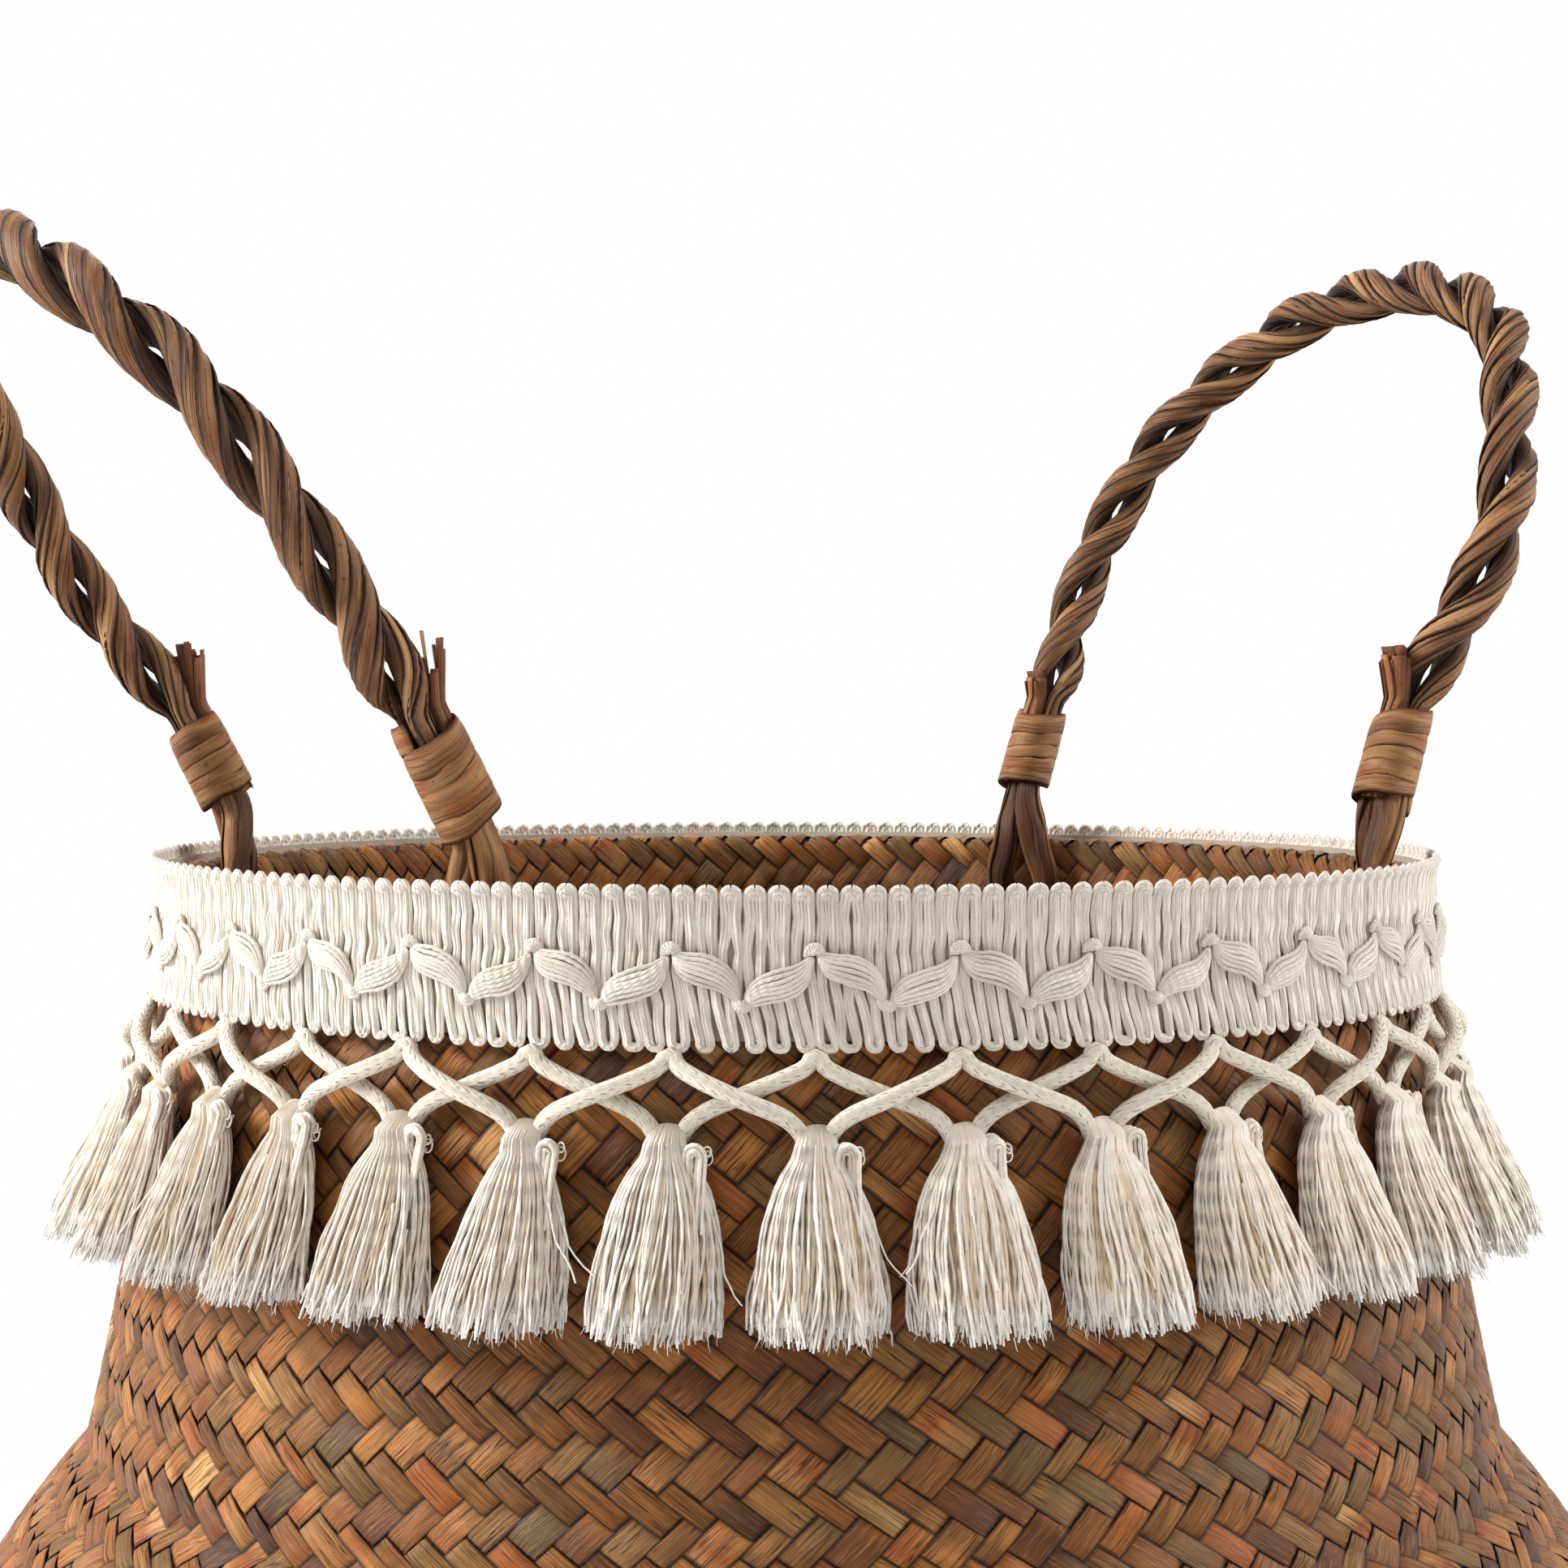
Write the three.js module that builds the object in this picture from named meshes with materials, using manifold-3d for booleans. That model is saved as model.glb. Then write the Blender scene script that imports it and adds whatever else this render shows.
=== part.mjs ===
// A belly basket: a plaited seagrass body with a folding neck, a cotton braid round the rim with
// tassels hung from a lattice of cords, and two twisted rope handles that swing on their feet.
// Millimetres, +Z up, the origin under the middle of the base, the handles at -X and +X.
import * as THREE from 'three';
import Module from 'manifold-3d';
import { mergeVertices } from 'three/addons/utils/BufferGeometryUtils.js';

const wasm = await Module();
wasm.setup();

// Body, as radii at named heights
const rimHeight = 360;
const rimRadius = 130;
const creaseHeight = 242;
const creaseRadius = 147;
const bellyHeight = 155;
const bellyRadius = 186;
const baseRadius = 110;
const wallThickness = 3;
const floorThickness = 4;
const hemThickness = 6.5;
const hemDepth = 28;
const hemBelowTrim = 1.5;
const hemStep = 3;
const plaitRelief = 1.3;
const hemRound = 1.6;
const neckCurveShare = 1.6;

// Clearances between pieces that touch on the real basket
const seatGap = 0.35;
const ropeGap = 0.3;

// Trim braid
const bandHeight = 26.3;
const bandThickness = 2.8;
const bandGroove = 0.8;
const bandEdge = 0.7;

// Yarn that zigzags over the middle of the braid, thin at its knots and full between them
const leafTop = 9.6;
const leafDrop = 9.8;
const leafKnot = 1.6;
const leafWidth = 5;
const leafThickness = 2.2;

// Lattice cords and tassels
const tasselCount = 34;
const cordDiameter = 3;
const latticeDrop = 13;
const cornerShare = 0.96;
const tasselLength = 34;
const tasselWidth = 24.6;
const tasselDepth = 15.5;
const tasselRoundShare = 0.7;
const tasselBackShare = 0.55;

// Handles, whose feet stand inside the rim. Each one rests at a lean of its own, in degrees.
const footRadius = 122;
const footSpread = 138;
const pivotRise = 8;
const archHeight = 130;
const archSpread = 152;
const archBow = 16.5;
const leanRight = 17.5;
const leanLeft = 27.5;
const strandDiameter = 6.3;
const boundStrandDiameter = 4.4;
const ropeTurnCount = 6.5;
const swellLength = 9.5;
const stripWidth = 3.7;
const stripThickness = 0.9;
const bindingHeight = 21.5;
const bindingTurnCount = 4.25;
const bindingRise = 2.8;
const tailReach = 13;
const tailLean = 5;
const legWidth = 5;
const legThickness = 4;
const legSpread = 12;
const legDrop = 21;

// Facets
const roundSegments = 60;
const cordSides = 5;
const strandSides = 6;
const stepsPerTurn = 8;
const stepsPerLoop = 12;
const stepsPerLeg = 4;
const stepsPerLeaf = 3;
const stepsPerFoot = 16;
const yarnSides = 4;
const stepsToBelly = 5;
const stepsToCrease = 4;
const stepsToHem = 4;
const tasselFrontPoints = 6;

const matt = (roughness) => (name, color) => new THREE.MeshStandardMaterial({ name, color, roughness });
const seagrass = matt(0.62);
const cotton = matt(0.92);

const root = new THREE.Group();

function addMesh(parent, name, geometry, material) {
  const mesh = new THREE.Mesh(geometry, material);
  mesh.name = name;
  parent.add(mesh);
  return mesh;
}

// Outer radius of the basket and its slope at a height: two parabolas meet at the belly, and the
// neck narrows from the crease to the rim
function wallAt(z) {
  if (z <= bellyHeight) {
    const u = (bellyHeight - z) / bellyHeight;
    const spread = bellyRadius - baseRadius;
    return { radius: baseRadius + spread * (1 - u * u), slope: (2 * spread * u) / bellyHeight };
  }
  if (z < creaseHeight) {
    const rise = creaseHeight - bellyHeight;
    const v = (z - bellyHeight) / rise;
    const spread = bellyRadius - creaseRadius;
    return { radius: bellyRadius - spread * v * v, slope: (-2 * spread * v) / rise };
  }
  const rise = rimHeight - creaseHeight;
  const w = Math.max(0, (rimHeight - z) / rise);
  const spread = creaseRadius - rimRadius;
  const slope = (-neckCurveShare * spread * w ** (neckCurveShare - 1)) / rise;
  return { radius: rimRadius + spread * w ** neckCurveShare, slope };
}

const outerRadius = (z) => wallAt(z).radius;

// Radius inside the wall, measured across its thickness
function innerRadius(z, thickness) {
  const { radius, slope } = wallAt(z);
  return radius - thickness * Math.hypot(1, slope);
}

// Joins rings of points into one closed skin. Open ends get flat caps, a closed loop gets none.
function loft(rings, loop = false) {
  const count = rings[0].length;
  const positions = rings.flat().flatMap((p) => [p.x, p.y, p.z]);
  const index = [];
  const spans = loop ? rings.length : rings.length - 1;
  for (let i = 0; i < spans; i++) {
    const a = i * count;
    const b = ((i + 1) % rings.length) * count;
    for (let k = 0; k < count; k++) {
      const n = (k + 1) % count;
      index.push(a + k, b + k, b + n, a + k, b + n, a + n);
    }
  }
  if (!loop) {
    const last = (rings.length - 1) * count;
    for (let k = 1; k < count - 1; k++) {
      index.push(0, k, k + 1, last, last + k + 1, last + k);
    }
  }
  const geometry = new THREE.BufferGeometry();
  geometry.setAttribute('position', new THREE.Float32BufferAttribute(positions, 3));
  geometry.setIndex(index);
  return faceOutwards(geometry);
}

function signedVolume(geometry) {
  const place = geometry.getAttribute('position');
  const index = geometry.getIndex();
  const [a, b, c] = [new THREE.Vector3(), new THREE.Vector3(), new THREE.Vector3()];
  let sum = 0;
  for (let i = 0; i < index.count; i += 3) {
    a.fromBufferAttribute(place, index.getX(i));
    b.fromBufferAttribute(place, index.getX(i + 1));
    c.fromBufferAttribute(place, index.getX(i + 2));
    sum += a.dot(b.cross(c));
  }
  return sum;
}

function faceOutwards(geometry) {
  if (signedVolume(geometry) < 0) {
    const index = geometry.getIndex();
    for (let i = 0; i < index.count; i += 3) {
      const keep = index.getX(i + 1);
      index.setX(i + 1, index.getX(i + 2));
      index.setX(i + 2, keep);
    }
  }
  return geometry;
}

// Turns a profile round the upright axis, merges its seam and drops the slivers at the axis
function turned(profile) {
  const geometry = new THREE.LatheGeometry(profile, roundSegments).rotateX(Math.PI / 2);
  geometry.deleteAttribute('normal');
  geometry.deleteAttribute('uv');
  const merged = mergeVertices(geometry);
  const index = Array.from(merged.getIndex().array);
  const kept = [];
  for (let i = 0; i < index.length; i += 3) {
    const [a, b, c] = index.slice(i, i + 3);
    if (a !== b && b !== c && c !== a) kept.push(a, b, c);
  }
  merged.setIndex(kept);
  return faceOutwards(merged);
}

function toSolid(geometry) {
  return new wasm.Manifold(new wasm.Mesh({
    numProp: 3,
    vertProperties: new Float32Array(geometry.getAttribute('position').array),
    triVerts: new Uint32Array(geometry.getIndex().array),
  }));
}

function fromSolid(solid) {
  const { vertProperties, triVerts } = solid.getMesh();
  const geometry = new THREE.BufferGeometry();
  geometry.setAttribute('position', new THREE.Float32BufferAttribute(vertProperties, 3));
  geometry.setIndex(Array.from(triVerts));
  return geometry;
}

// A ring of a tube: the centre, the way along it, a way out of it and its half sizes. The flat of
// the ring faces the way out, so that two strands lie side by side on their flats.
function tubeRing(centre, along, out, halfOut, halfAcross, sides) {
  const across = new THREE.Vector3().crossVectors(along, out).normalize();
  const flat = new THREE.Vector3().crossVectors(across, along).normalize();
  return Array.from({ length: sides }, (_, k) => {
    const angle = ((k + 0.5) * 2 * Math.PI) / sides;
    return centre.clone()
      .addScaledVector(flat, halfOut * Math.cos(angle))
      .addScaledVector(across, halfAcross * Math.sin(angle));
  });
}

// A point at an angle round the basket, a radius and a height
const around = (angle, radius, z) => new THREE.Vector3(radius * Math.cos(angle), radius * Math.sin(angle), z);

const ease = (share) => {
  const s = Math.min(1, Math.max(0, share));
  return s * s * (3 - 2 * s);
};

// The arch from the top of a binding to its middle: shares of half its spread, of its bow outwards
// and of its height above the pivot
const archShares = [
  [1, 0.31, 0.47],
  [0.868, 0.5, 0.708],
  [0.645, 0.81, 0.877],
  [0.335, 0.92, 0.971],
  [0, 1, 1],
];
const pivotHeight = rimHeight + pivotRise;
const footX = Math.sqrt(footRadius ** 2 - (footSpread / 2) ** 2);
const bindingTop = bindingRise + bindingHeight;
const strandRadius = strandDiameter / 2;
const boundRadius = boundStrandDiameter / 2;
// Three bound strands lie in a triangle, and the binding goes round them
const boundPitch = boundStrandDiameter + ropeGap;
const boundCentre = (boundPitch / 2) * Math.tan(Math.PI / 6);
const boundTail = boundPitch / 2 / Math.cos(Math.PI / 6);
const bindingInner = boundTail + boundRadius + seatGap;

// A handle is drawn upright, with its pivot line along Y through the origin
function handleRoute() {
  const half = footSpread / 2;
  const foot = (side, rise) => new THREE.Vector3(0, side * half, rise);
  const arch = (side, [spread, bow, rise]) => new THREE.Vector3(bow * archBow,
    (side * spread * archSpread) / 2, rise * archHeight);
  const firstHalf = archShares.map((share) => arch(-1, share));
  const secondHalf = archShares.slice(0, -1).reverse().map((share) => arch(1, share));
  const low = [foot(-1, 0), foot(-1, bindingTop / 2), foot(-1, bindingTop)];
  const high = [foot(1, bindingTop), foot(1, bindingTop / 2), foot(1, 0)];
  return new THREE.CatmullRomCurve3([...low, ...firstHalf, ...secondHalf, ...high], false, 'centripetal');
}

// The rounded end of a strand: shares of its radius, past its last ring and across
const endShares = [
  [0.4, 0.92],
  [0.84, 0.55],
];

// One strand of the rope: straight and drawn thin inside both bindings, and laid round the other
// strand between them
function strand(turn) {
  const route = handleRoute();
  const length = route.getLength();
  const facing = new THREE.Vector3(1, 0, 0);
  const steps = Math.round(ropeTurnCount * stepsPerTurn);
  const inner = bindingTop / length;
  const stations = [0, inner / 2];
  for (let i = 0; i <= steps; i++) stations.push(inner + ((1 - 2 * inner) * i) / steps);
  stations.push(1 - inner / 2, 1);
  const rings = stations.map((at) => {
    const centre = route.getPointAt(at);
    const along = route.getTangentAt(at);
    const out = facing.clone().addScaledVector(along, -facing.dot(along)).normalize();
    const across = new THREE.Vector3().crossVectors(along, out);
    const up = new THREE.Vector3().crossVectors(along, across);
    const fromEnd = Math.min(at, 1 - at) * length - bindingTop;
    const full = ease(fromEnd / swellLength);
    const offset = (boundPitch / 2) * (1 - full) + (strandRadius + ropeGap / 2) * full;
    const radius = boundRadius * (1 - full) + strandRadius * full;
    const laid = Math.min(1, Math.max(0, (at - inner) / (1 - 2 * inner)));
    const angle = laid * ropeTurnCount * 2 * Math.PI + turn;
    const away = across.multiplyScalar(Math.cos(angle)).addScaledVector(up, Math.sin(angle));
    return { centre: centre.addScaledVector(away, offset), along, away, radius };
  });
  const ends = (ring, way) => endShares.map(([past, across]) => {
    const centre = ring.centre.clone().addScaledVector(ring.along, way * past * ring.radius);
    const half = across * ring.radius;
    return tubeRing(centre, ring.along, ring.away, half, half, strandSides);
  });
  const first = rings[0];
  const last = rings[rings.length - 1];
  const skin = rings.map((r) => tubeRing(r.centre, r.along, r.away, r.radius, r.radius, strandSides));
  return loft([...ends(first, -1).reverse(), ...skin, ...ends(last, 1)]);
}

// Flat strip wound round a foot of the handle, as one unbroken winding
function binding(side) {
  const axis = new THREE.Vector3(-boundCentre, (side * footSpread) / 2, bindingRise);
  const pitch = (bindingHeight - stripWidth) / bindingTurnCount;
  const steps = Math.round(bindingTurnCount * stepsPerLoop);
  const inner = bindingInner / Math.cos(Math.PI / stepsPerLoop);
  const corners = [[0, 0], [stripThickness, 0], [stripThickness, stripWidth], [0, stripWidth]];
  const rings = [];
  for (let i = 0; i <= steps; i++) {
    const angle = (i * 2 * Math.PI) / stepsPerLoop;
    const low = (pitch * i) / stepsPerLoop;
    rings.push(corners.map(([out, up]) => axis.clone().add(around(angle, inner + out, low + up))));
  }
  return { geometry: loft(rings), gap: leastGap(rings) };
}

// The least gap between a point on the top edge of one loop and one on the edge of the next
function leastGap(rings) {
  let least = Infinity;
  for (let i = 0; i < rings.length; i++) {
    for (let j = i + stepsPerLoop / 2; j < rings.length; j++) {
      for (const low of [rings[i][2], rings[i][3]]) {
        for (const high of [rings[j][0], rings[j][1]]) least = Math.min(least, low.distanceTo(high));
      }
    }
  }
  return least;
}

// The rope's tail, held by the binding and cut off above it, on the side towards the middle
function tail(side) {
  const x = -boundCentre - boundTail;
  const place = (share) => {
    const rise = share * (bindingHeight + tailReach);
    const above = Math.max(0, rise - bindingHeight) / tailReach;
    return new THREE.Vector3(x - tailLean * above, (side * footSpread) / 2, bindingRise + rise);
  };
  const held = bindingHeight / (bindingHeight + tailReach);
  const shares = [0, held / 2, held, (held + 1) / 2, 1];
  const along = (share) => new THREE.Vector3(share > held ? -tailLean : 0, 0, tailReach).normalize();
  const rings = shares.map((share) => tubeRing(place(share), along(share),
    new THREE.Vector3(1, 0, 0), boundRadius, boundRadius, strandSides));
  return loft(rings);
}

// The legs of a foot loop below the rim: shares of their depth, of their spread and of their way
// from inside the hem to its middle
const legShares = [
  [0.19, 0.67, 0],
  [0.5, 1, 0],
  [0.8, 1, 0.5],
  [0.97, 0.72, 1],
];

// The loop of rope that holds a foot: down inside the rim, through the hem and up again
function footLoop(side, grow) {
  const angle = Math.atan2((side * footSpread) / 2, footX);
  const hemMiddle = outerRadius(rimHeight - legDrop) - hemThickness + legThickness / 2 + seatGap + ropeGap;
  const legRadius = outerRadius(rimHeight) - hemThickness - legThickness / 2 - seatGap;
  const out = new THREE.Vector3(Math.cos(angle), Math.sin(angle), 0);
  const across = new THREE.Vector3(-Math.sin(angle), Math.cos(angle), 0);
  const at = (down, aside, inwards) => out.clone()
    .multiplyScalar(legRadius + (hemMiddle - legRadius) * inwards)
    .addScaledVector(across, (aside * legSpread) / 2)
    .setZ(rimHeight - down * legDrop);
  const legTop = pivotHeight - boundRadius - seatGap;
  const leg = (way) => [
    new THREE.Vector3(footX, (side * footSpread) / 2 + (way * boundPitch) / 2, legTop + grow),
    ...legShares.map(([down, aside, inwards]) => at(down, way * aside, inwards)),
  ];
  const bottom = at(1, 0, 1);
  const route = new THREE.CatmullRomCurve3([...leg(-1), bottom, ...leg(1).reverse()], false, 'centripetal');
  const rings = Array.from({ length: stepsPerFoot + 1 }, (_, i) => {
    const at = i / stepsPerFoot;
    return tubeRing(route.getPointAt(at), route.getTangentAt(at), out,
      legThickness / 2 + grow, legWidth / 2 + grow, strandSides);
  });
  return loft(rings);
}

// The plait's main relief: from the floor to the crease its slanting ridges leave every other
// corner of the shell proud, and inside and outside move together
function plaited(geometry, heights) {
  const at = geometry.getAttribute('position');
  const cell = (2 * Math.PI) / roundSegments;
  for (let i = 0; i < at.count; i++) {
    const ring = heights.findIndex((z) => Math.abs(z - at.getZ(i)) < seatGap);
    if (ring < 1 || heights[ring] > creaseHeight) continue;
    const column = Math.round(Math.atan2(at.getY(i), at.getX(i)) / cell);
    const radius = Math.hypot(at.getX(i), at.getY(i));
    const proud = (column + ring) % 2 === 0 ? plaitRelief / 2 : -plaitRelief / 2;
    at.setXY(i, at.getX(i) * (1 + proud / radius), at.getY(i) * (1 + proud / radius));
  }
  return geometry;
}

// The plaited body: an open shell with a flat floor, a waist crease and a folded hem
function wovenBody() {
  const hemTop = rimHeight - hemBelowTrim;
  const hemFoot = rimHeight - hemDepth;
  const between = (low, high, count) =>
    Array.from({ length: count }, (_, i) => low + ((high - low) * i) / count);
  const heights = [
    ...between(0, bellyHeight, stepsToBelly),
    ...between(bellyHeight, creaseHeight, stepsToCrease),
    ...between(creaseHeight, hemFoot, stepsToHem),
  ];
  const profile = [new THREE.Vector2(0, 0)];
  for (const z of heights) profile.push(new THREE.Vector2(outerRadius(z), z));
  profile.push(new THREE.Vector2(outerRadius(hemFoot), hemFoot));
  profile.push(new THREE.Vector2(outerRadius(hemTop), hemTop - hemRound));
  profile.push(new THREE.Vector2(outerRadius(hemTop) - hemRound, hemTop));
  profile.push(new THREE.Vector2(outerRadius(hemTop) - hemThickness + hemRound, hemTop));
  profile.push(new THREE.Vector2(outerRadius(hemTop) - hemThickness, hemTop - hemRound));
  profile.push(new THREE.Vector2(outerRadius(hemFoot) - hemThickness, hemFoot));
  profile.push(new THREE.Vector2(innerRadius(hemFoot - hemStep, wallThickness), hemFoot - hemStep));
  for (const z of heights.slice(1, -1).reverse()) {
    profile.push(new THREE.Vector2(innerRadius(z, wallThickness), z));
  }
  profile.push(new THREE.Vector2(innerRadius(floorThickness, wallThickness), floorThickness));
  profile.push(new THREE.Vector2(0, floorThickness));
  let solid = toSolid(plaited(turned(profile), heights));
  for (const turn of [0, Math.PI]) {
    for (const side of [-1, 1]) {
      const pocket = footLoop(side, seatGap).rotateZ(turn);
      solid = solid.subtract(toSolid(pocket));
    }
  }
  return fromSolid(solid);
}

// Cotton braid round the rim, with two sewn grooves
function trimBand() {
  const foot = rimHeight - bandHeight;
  const [high, low] = [rimHeight - leafTop + leafKnot, rimHeight - leafTop - leafDrop - leafKnot];
  const outer = (z, depth) => new THREE.Vector2(outerRadius(z) + seatGap + depth, z);
  const profile = [
    outer(foot, 0),
    outer(foot, bandThickness - bandEdge),
    outer(low - bandGroove, bandThickness),
    outer(low, bandThickness - bandGroove),
    outer(high, bandThickness - bandGroove),
    outer(high + bandGroove, bandThickness),
    outer(rimHeight, bandThickness - bandEdge),
    outer(rimHeight, 0),
    outer(foot, 0),
  ];
  return turned(profile);
}

// A softened zigzag: 1 at even places and -1 at odd ones
const zigzag = (place) => Math.asin(cornerShare * Math.cos(Math.PI * place)) / Math.asin(cornerShare);

function zigzagYarn() {
  const count = 2 * tasselCount * stepsPerLeaf;
  const middle = rimHeight - leafTop - leafDrop / 2;
  const place = (i) => {
    const at = i / stepsPerLeaf;
    const fullness = Math.sin(Math.PI * at) ** 2;
    const z = middle - (leafDrop / 2) * zigzag(at);
    const thick = leafKnot / 2 + ((leafThickness - leafKnot) / 2) * fullness;
    const radius = outerRadius(z) + seatGap + bandThickness - bandGroove + seatGap + thick;
    const width = (leafKnot + (leafWidth - leafKnot) * fullness) / 2;
    return { angle: (at * Math.PI) / tasselCount, radius, z, thick, width };
  };
  const rings = Array.from({ length: count }, (_, i) => {
    const here = place(i);
    const [before, after] = [place(i - 0.5), place(i + 0.5)];
    const along = around(after.angle, after.radius, after.z)
      .sub(around(before.angle, before.radius, before.z));
    const out = around(here.angle, 1, 0);
    return tubeRing(around(here.angle, here.radius, here.z), along.normalize(), out,
      here.thick, here.width, yarnSides);
  });
  return loft(rings, true);
}

const tasselAngle = (k) => (2 * Math.PI * k) / tasselCount;
const cordRadius = cordDiameter / 2;
const cordPeak = rimHeight - bandHeight - seatGap - cordRadius;
const cordValley = cordPeak - latticeDrop;
const cordSeat = (z) => outerRadius(z) + seatGap + cordRadius;

// One lattice cord. It hangs from the braid at every other tassel and carries those between. The
// outer cord steps over the inner one where they cross.
function latticeCord(shift, stepOver) {
  const count = tasselCount * stepsPerLeg;
  const place = (i) => {
    const at = i / stepsPerLeg;
    const z = (cordPeak + cordValley) / 2 + ((cordPeak - cordValley) / 2) * zigzag(at);
    const lift = stepOver * Math.sin(Math.PI * at) ** 2;
    return around(tasselAngle(at + shift), cordSeat(z) + lift, z);
  };
  const rings = Array.from({ length: count }, (_, i) => {
    const along = place(i + 0.5).sub(place(i - 0.5)).normalize();
    return tubeRing(place(i), along, around(tasselAngle(i / stepsPerLeg + shift), 1, 0),
      cordRadius, cordRadius, cordSides);
  });
  return loft(rings, true);
}

// A tassel in its own frame, +X away from the basket: a round head, a tied neck and a skirt that
// spreads to its cut end. Rows are shares of the length, the half width and the depth.
const tasselShares = [
  [0, 0.16, 0.22],
  [0.07, 0.32, 0.42],
  [0.17, 0.34, 0.46],
  [0.26, 0.28, 0.38],
  [0.42, 0.55, 0.58],
  [0.68, 0.85, 0.84],
  [1, 1, 1],
];

function tassel() {
  const top = cordValley - cordRadius - seatGap;
  const rings = tasselShares.map(([down, wide, deep]) => {
    const z = top - down * tasselLength;
    const wall = outerRadius(z) + seatGap;
    const half = (wide * tasselWidth) / 2;
    const depth = deep * tasselDepth;
    const onWall = (aside) => Math.sqrt(wall ** 2 - aside ** 2);
    const back = tasselBackShare * half;
    const ring = [-back, back].map((aside) => new THREE.Vector3(onWall(aside), aside, z));
    for (let k = 0; k < tasselFrontPoints; k++) {
      const angle = (Math.PI * k) / (tasselFrontPoints - 1);
      const aside = half * Math.cos(angle);
      const forward = depth * (1 - tasselRoundShare * (1 - Math.sin(angle)));
      ring.push(new THREE.Vector3(onWall(aside) + forward, aside, z));
    }
    return ring;
  });
  return loft(rings);
}

// Assembly
addMesh(root, 'woven_body', wovenBody(), seagrass('plaited seagrass', 0x9a6c40));
addMesh(root, 'trim_band', trimBand(), cotton('cotton braid', 0xe9e3d6));
addMesh(root, 'trim_zigzag_yarn', zigzagYarn(), cotton('cotton yarn', 0xf1ecdf));
addMesh(root, 'lattice_cord_outer', latticeCord(0, cordDiameter + ropeGap), cotton('knitted cord', 0xeee7d8));
addMesh(root, 'lattice_cord_inner', latticeCord(1, 0), cotton('knitted cord', 0xe6dfcf));

for (let k = 0; k < tasselCount; k++) {
  const name = `tassel_${String(k + 1).padStart(2, '0')}`;
  addMesh(root, name, tassel(), cotton('tassel yarn', 0xefe9de)).rotation.z = tasselAngle(k);
}

const rope = seagrass('twisted seagrass', 0x6b4423);
const strip = seagrass('seagrass strip', 0xa9713c);
for (const [name, turn, lean] of [['handle_right', 0, leanRight], ['handle_left', Math.PI, leanLeft]]) {
  const place = new THREE.Group();
  place.rotation.z = turn;
  root.add(place);
  const handle = new THREE.Group();
  handle.position.set(footX, 0, pivotHeight);
  handle.rotation.y = THREE.MathUtils.degToRad(lean);
  place.add(handle);
  addMesh(handle, `${name}_strand_1`, strand(0), rope);
  addMesh(handle, `${name}_strand_2`, strand(Math.PI), rope);
  for (const side of [-1, 1]) {
    const end = side * Math.cos(turn) < 0 ? 'front' : 'back';
    const wound = binding(side);
    console.log(`${name} ${end} binding: least gap between its loops ${wound.gap.toFixed(2)} mm`);
    addMesh(handle, `${name}_binding_${end}`, wound.geometry, strip);
    addMesh(handle, `${name}_tail_${end}`, tail(side), rope);
    addMesh(place, `${name}_foot_loop_${end}`, footLoop(side, 0), rope);
  }
}

export default root;
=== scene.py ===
import math

import bpy
import numpy as np
from mathutils import Euler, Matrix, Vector


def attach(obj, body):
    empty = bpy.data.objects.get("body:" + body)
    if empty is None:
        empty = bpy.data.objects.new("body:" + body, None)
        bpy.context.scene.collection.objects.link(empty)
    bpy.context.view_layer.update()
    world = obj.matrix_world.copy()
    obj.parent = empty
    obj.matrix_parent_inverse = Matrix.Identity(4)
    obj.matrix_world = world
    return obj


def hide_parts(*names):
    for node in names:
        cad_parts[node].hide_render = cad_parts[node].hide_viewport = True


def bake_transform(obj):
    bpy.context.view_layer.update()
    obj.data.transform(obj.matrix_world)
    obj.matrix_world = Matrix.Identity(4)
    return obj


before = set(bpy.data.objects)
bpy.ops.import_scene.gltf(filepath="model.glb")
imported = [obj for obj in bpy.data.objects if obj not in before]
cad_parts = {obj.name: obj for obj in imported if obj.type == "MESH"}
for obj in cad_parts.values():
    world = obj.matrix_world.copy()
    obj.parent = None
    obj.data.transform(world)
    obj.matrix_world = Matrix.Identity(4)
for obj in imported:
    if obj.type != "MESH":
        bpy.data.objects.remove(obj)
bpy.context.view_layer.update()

mm = 0.001
tau = 2 * math.pi


# Node trees, for shaders and for geometry alike. A wire is a node's output that can be used in sums

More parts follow.
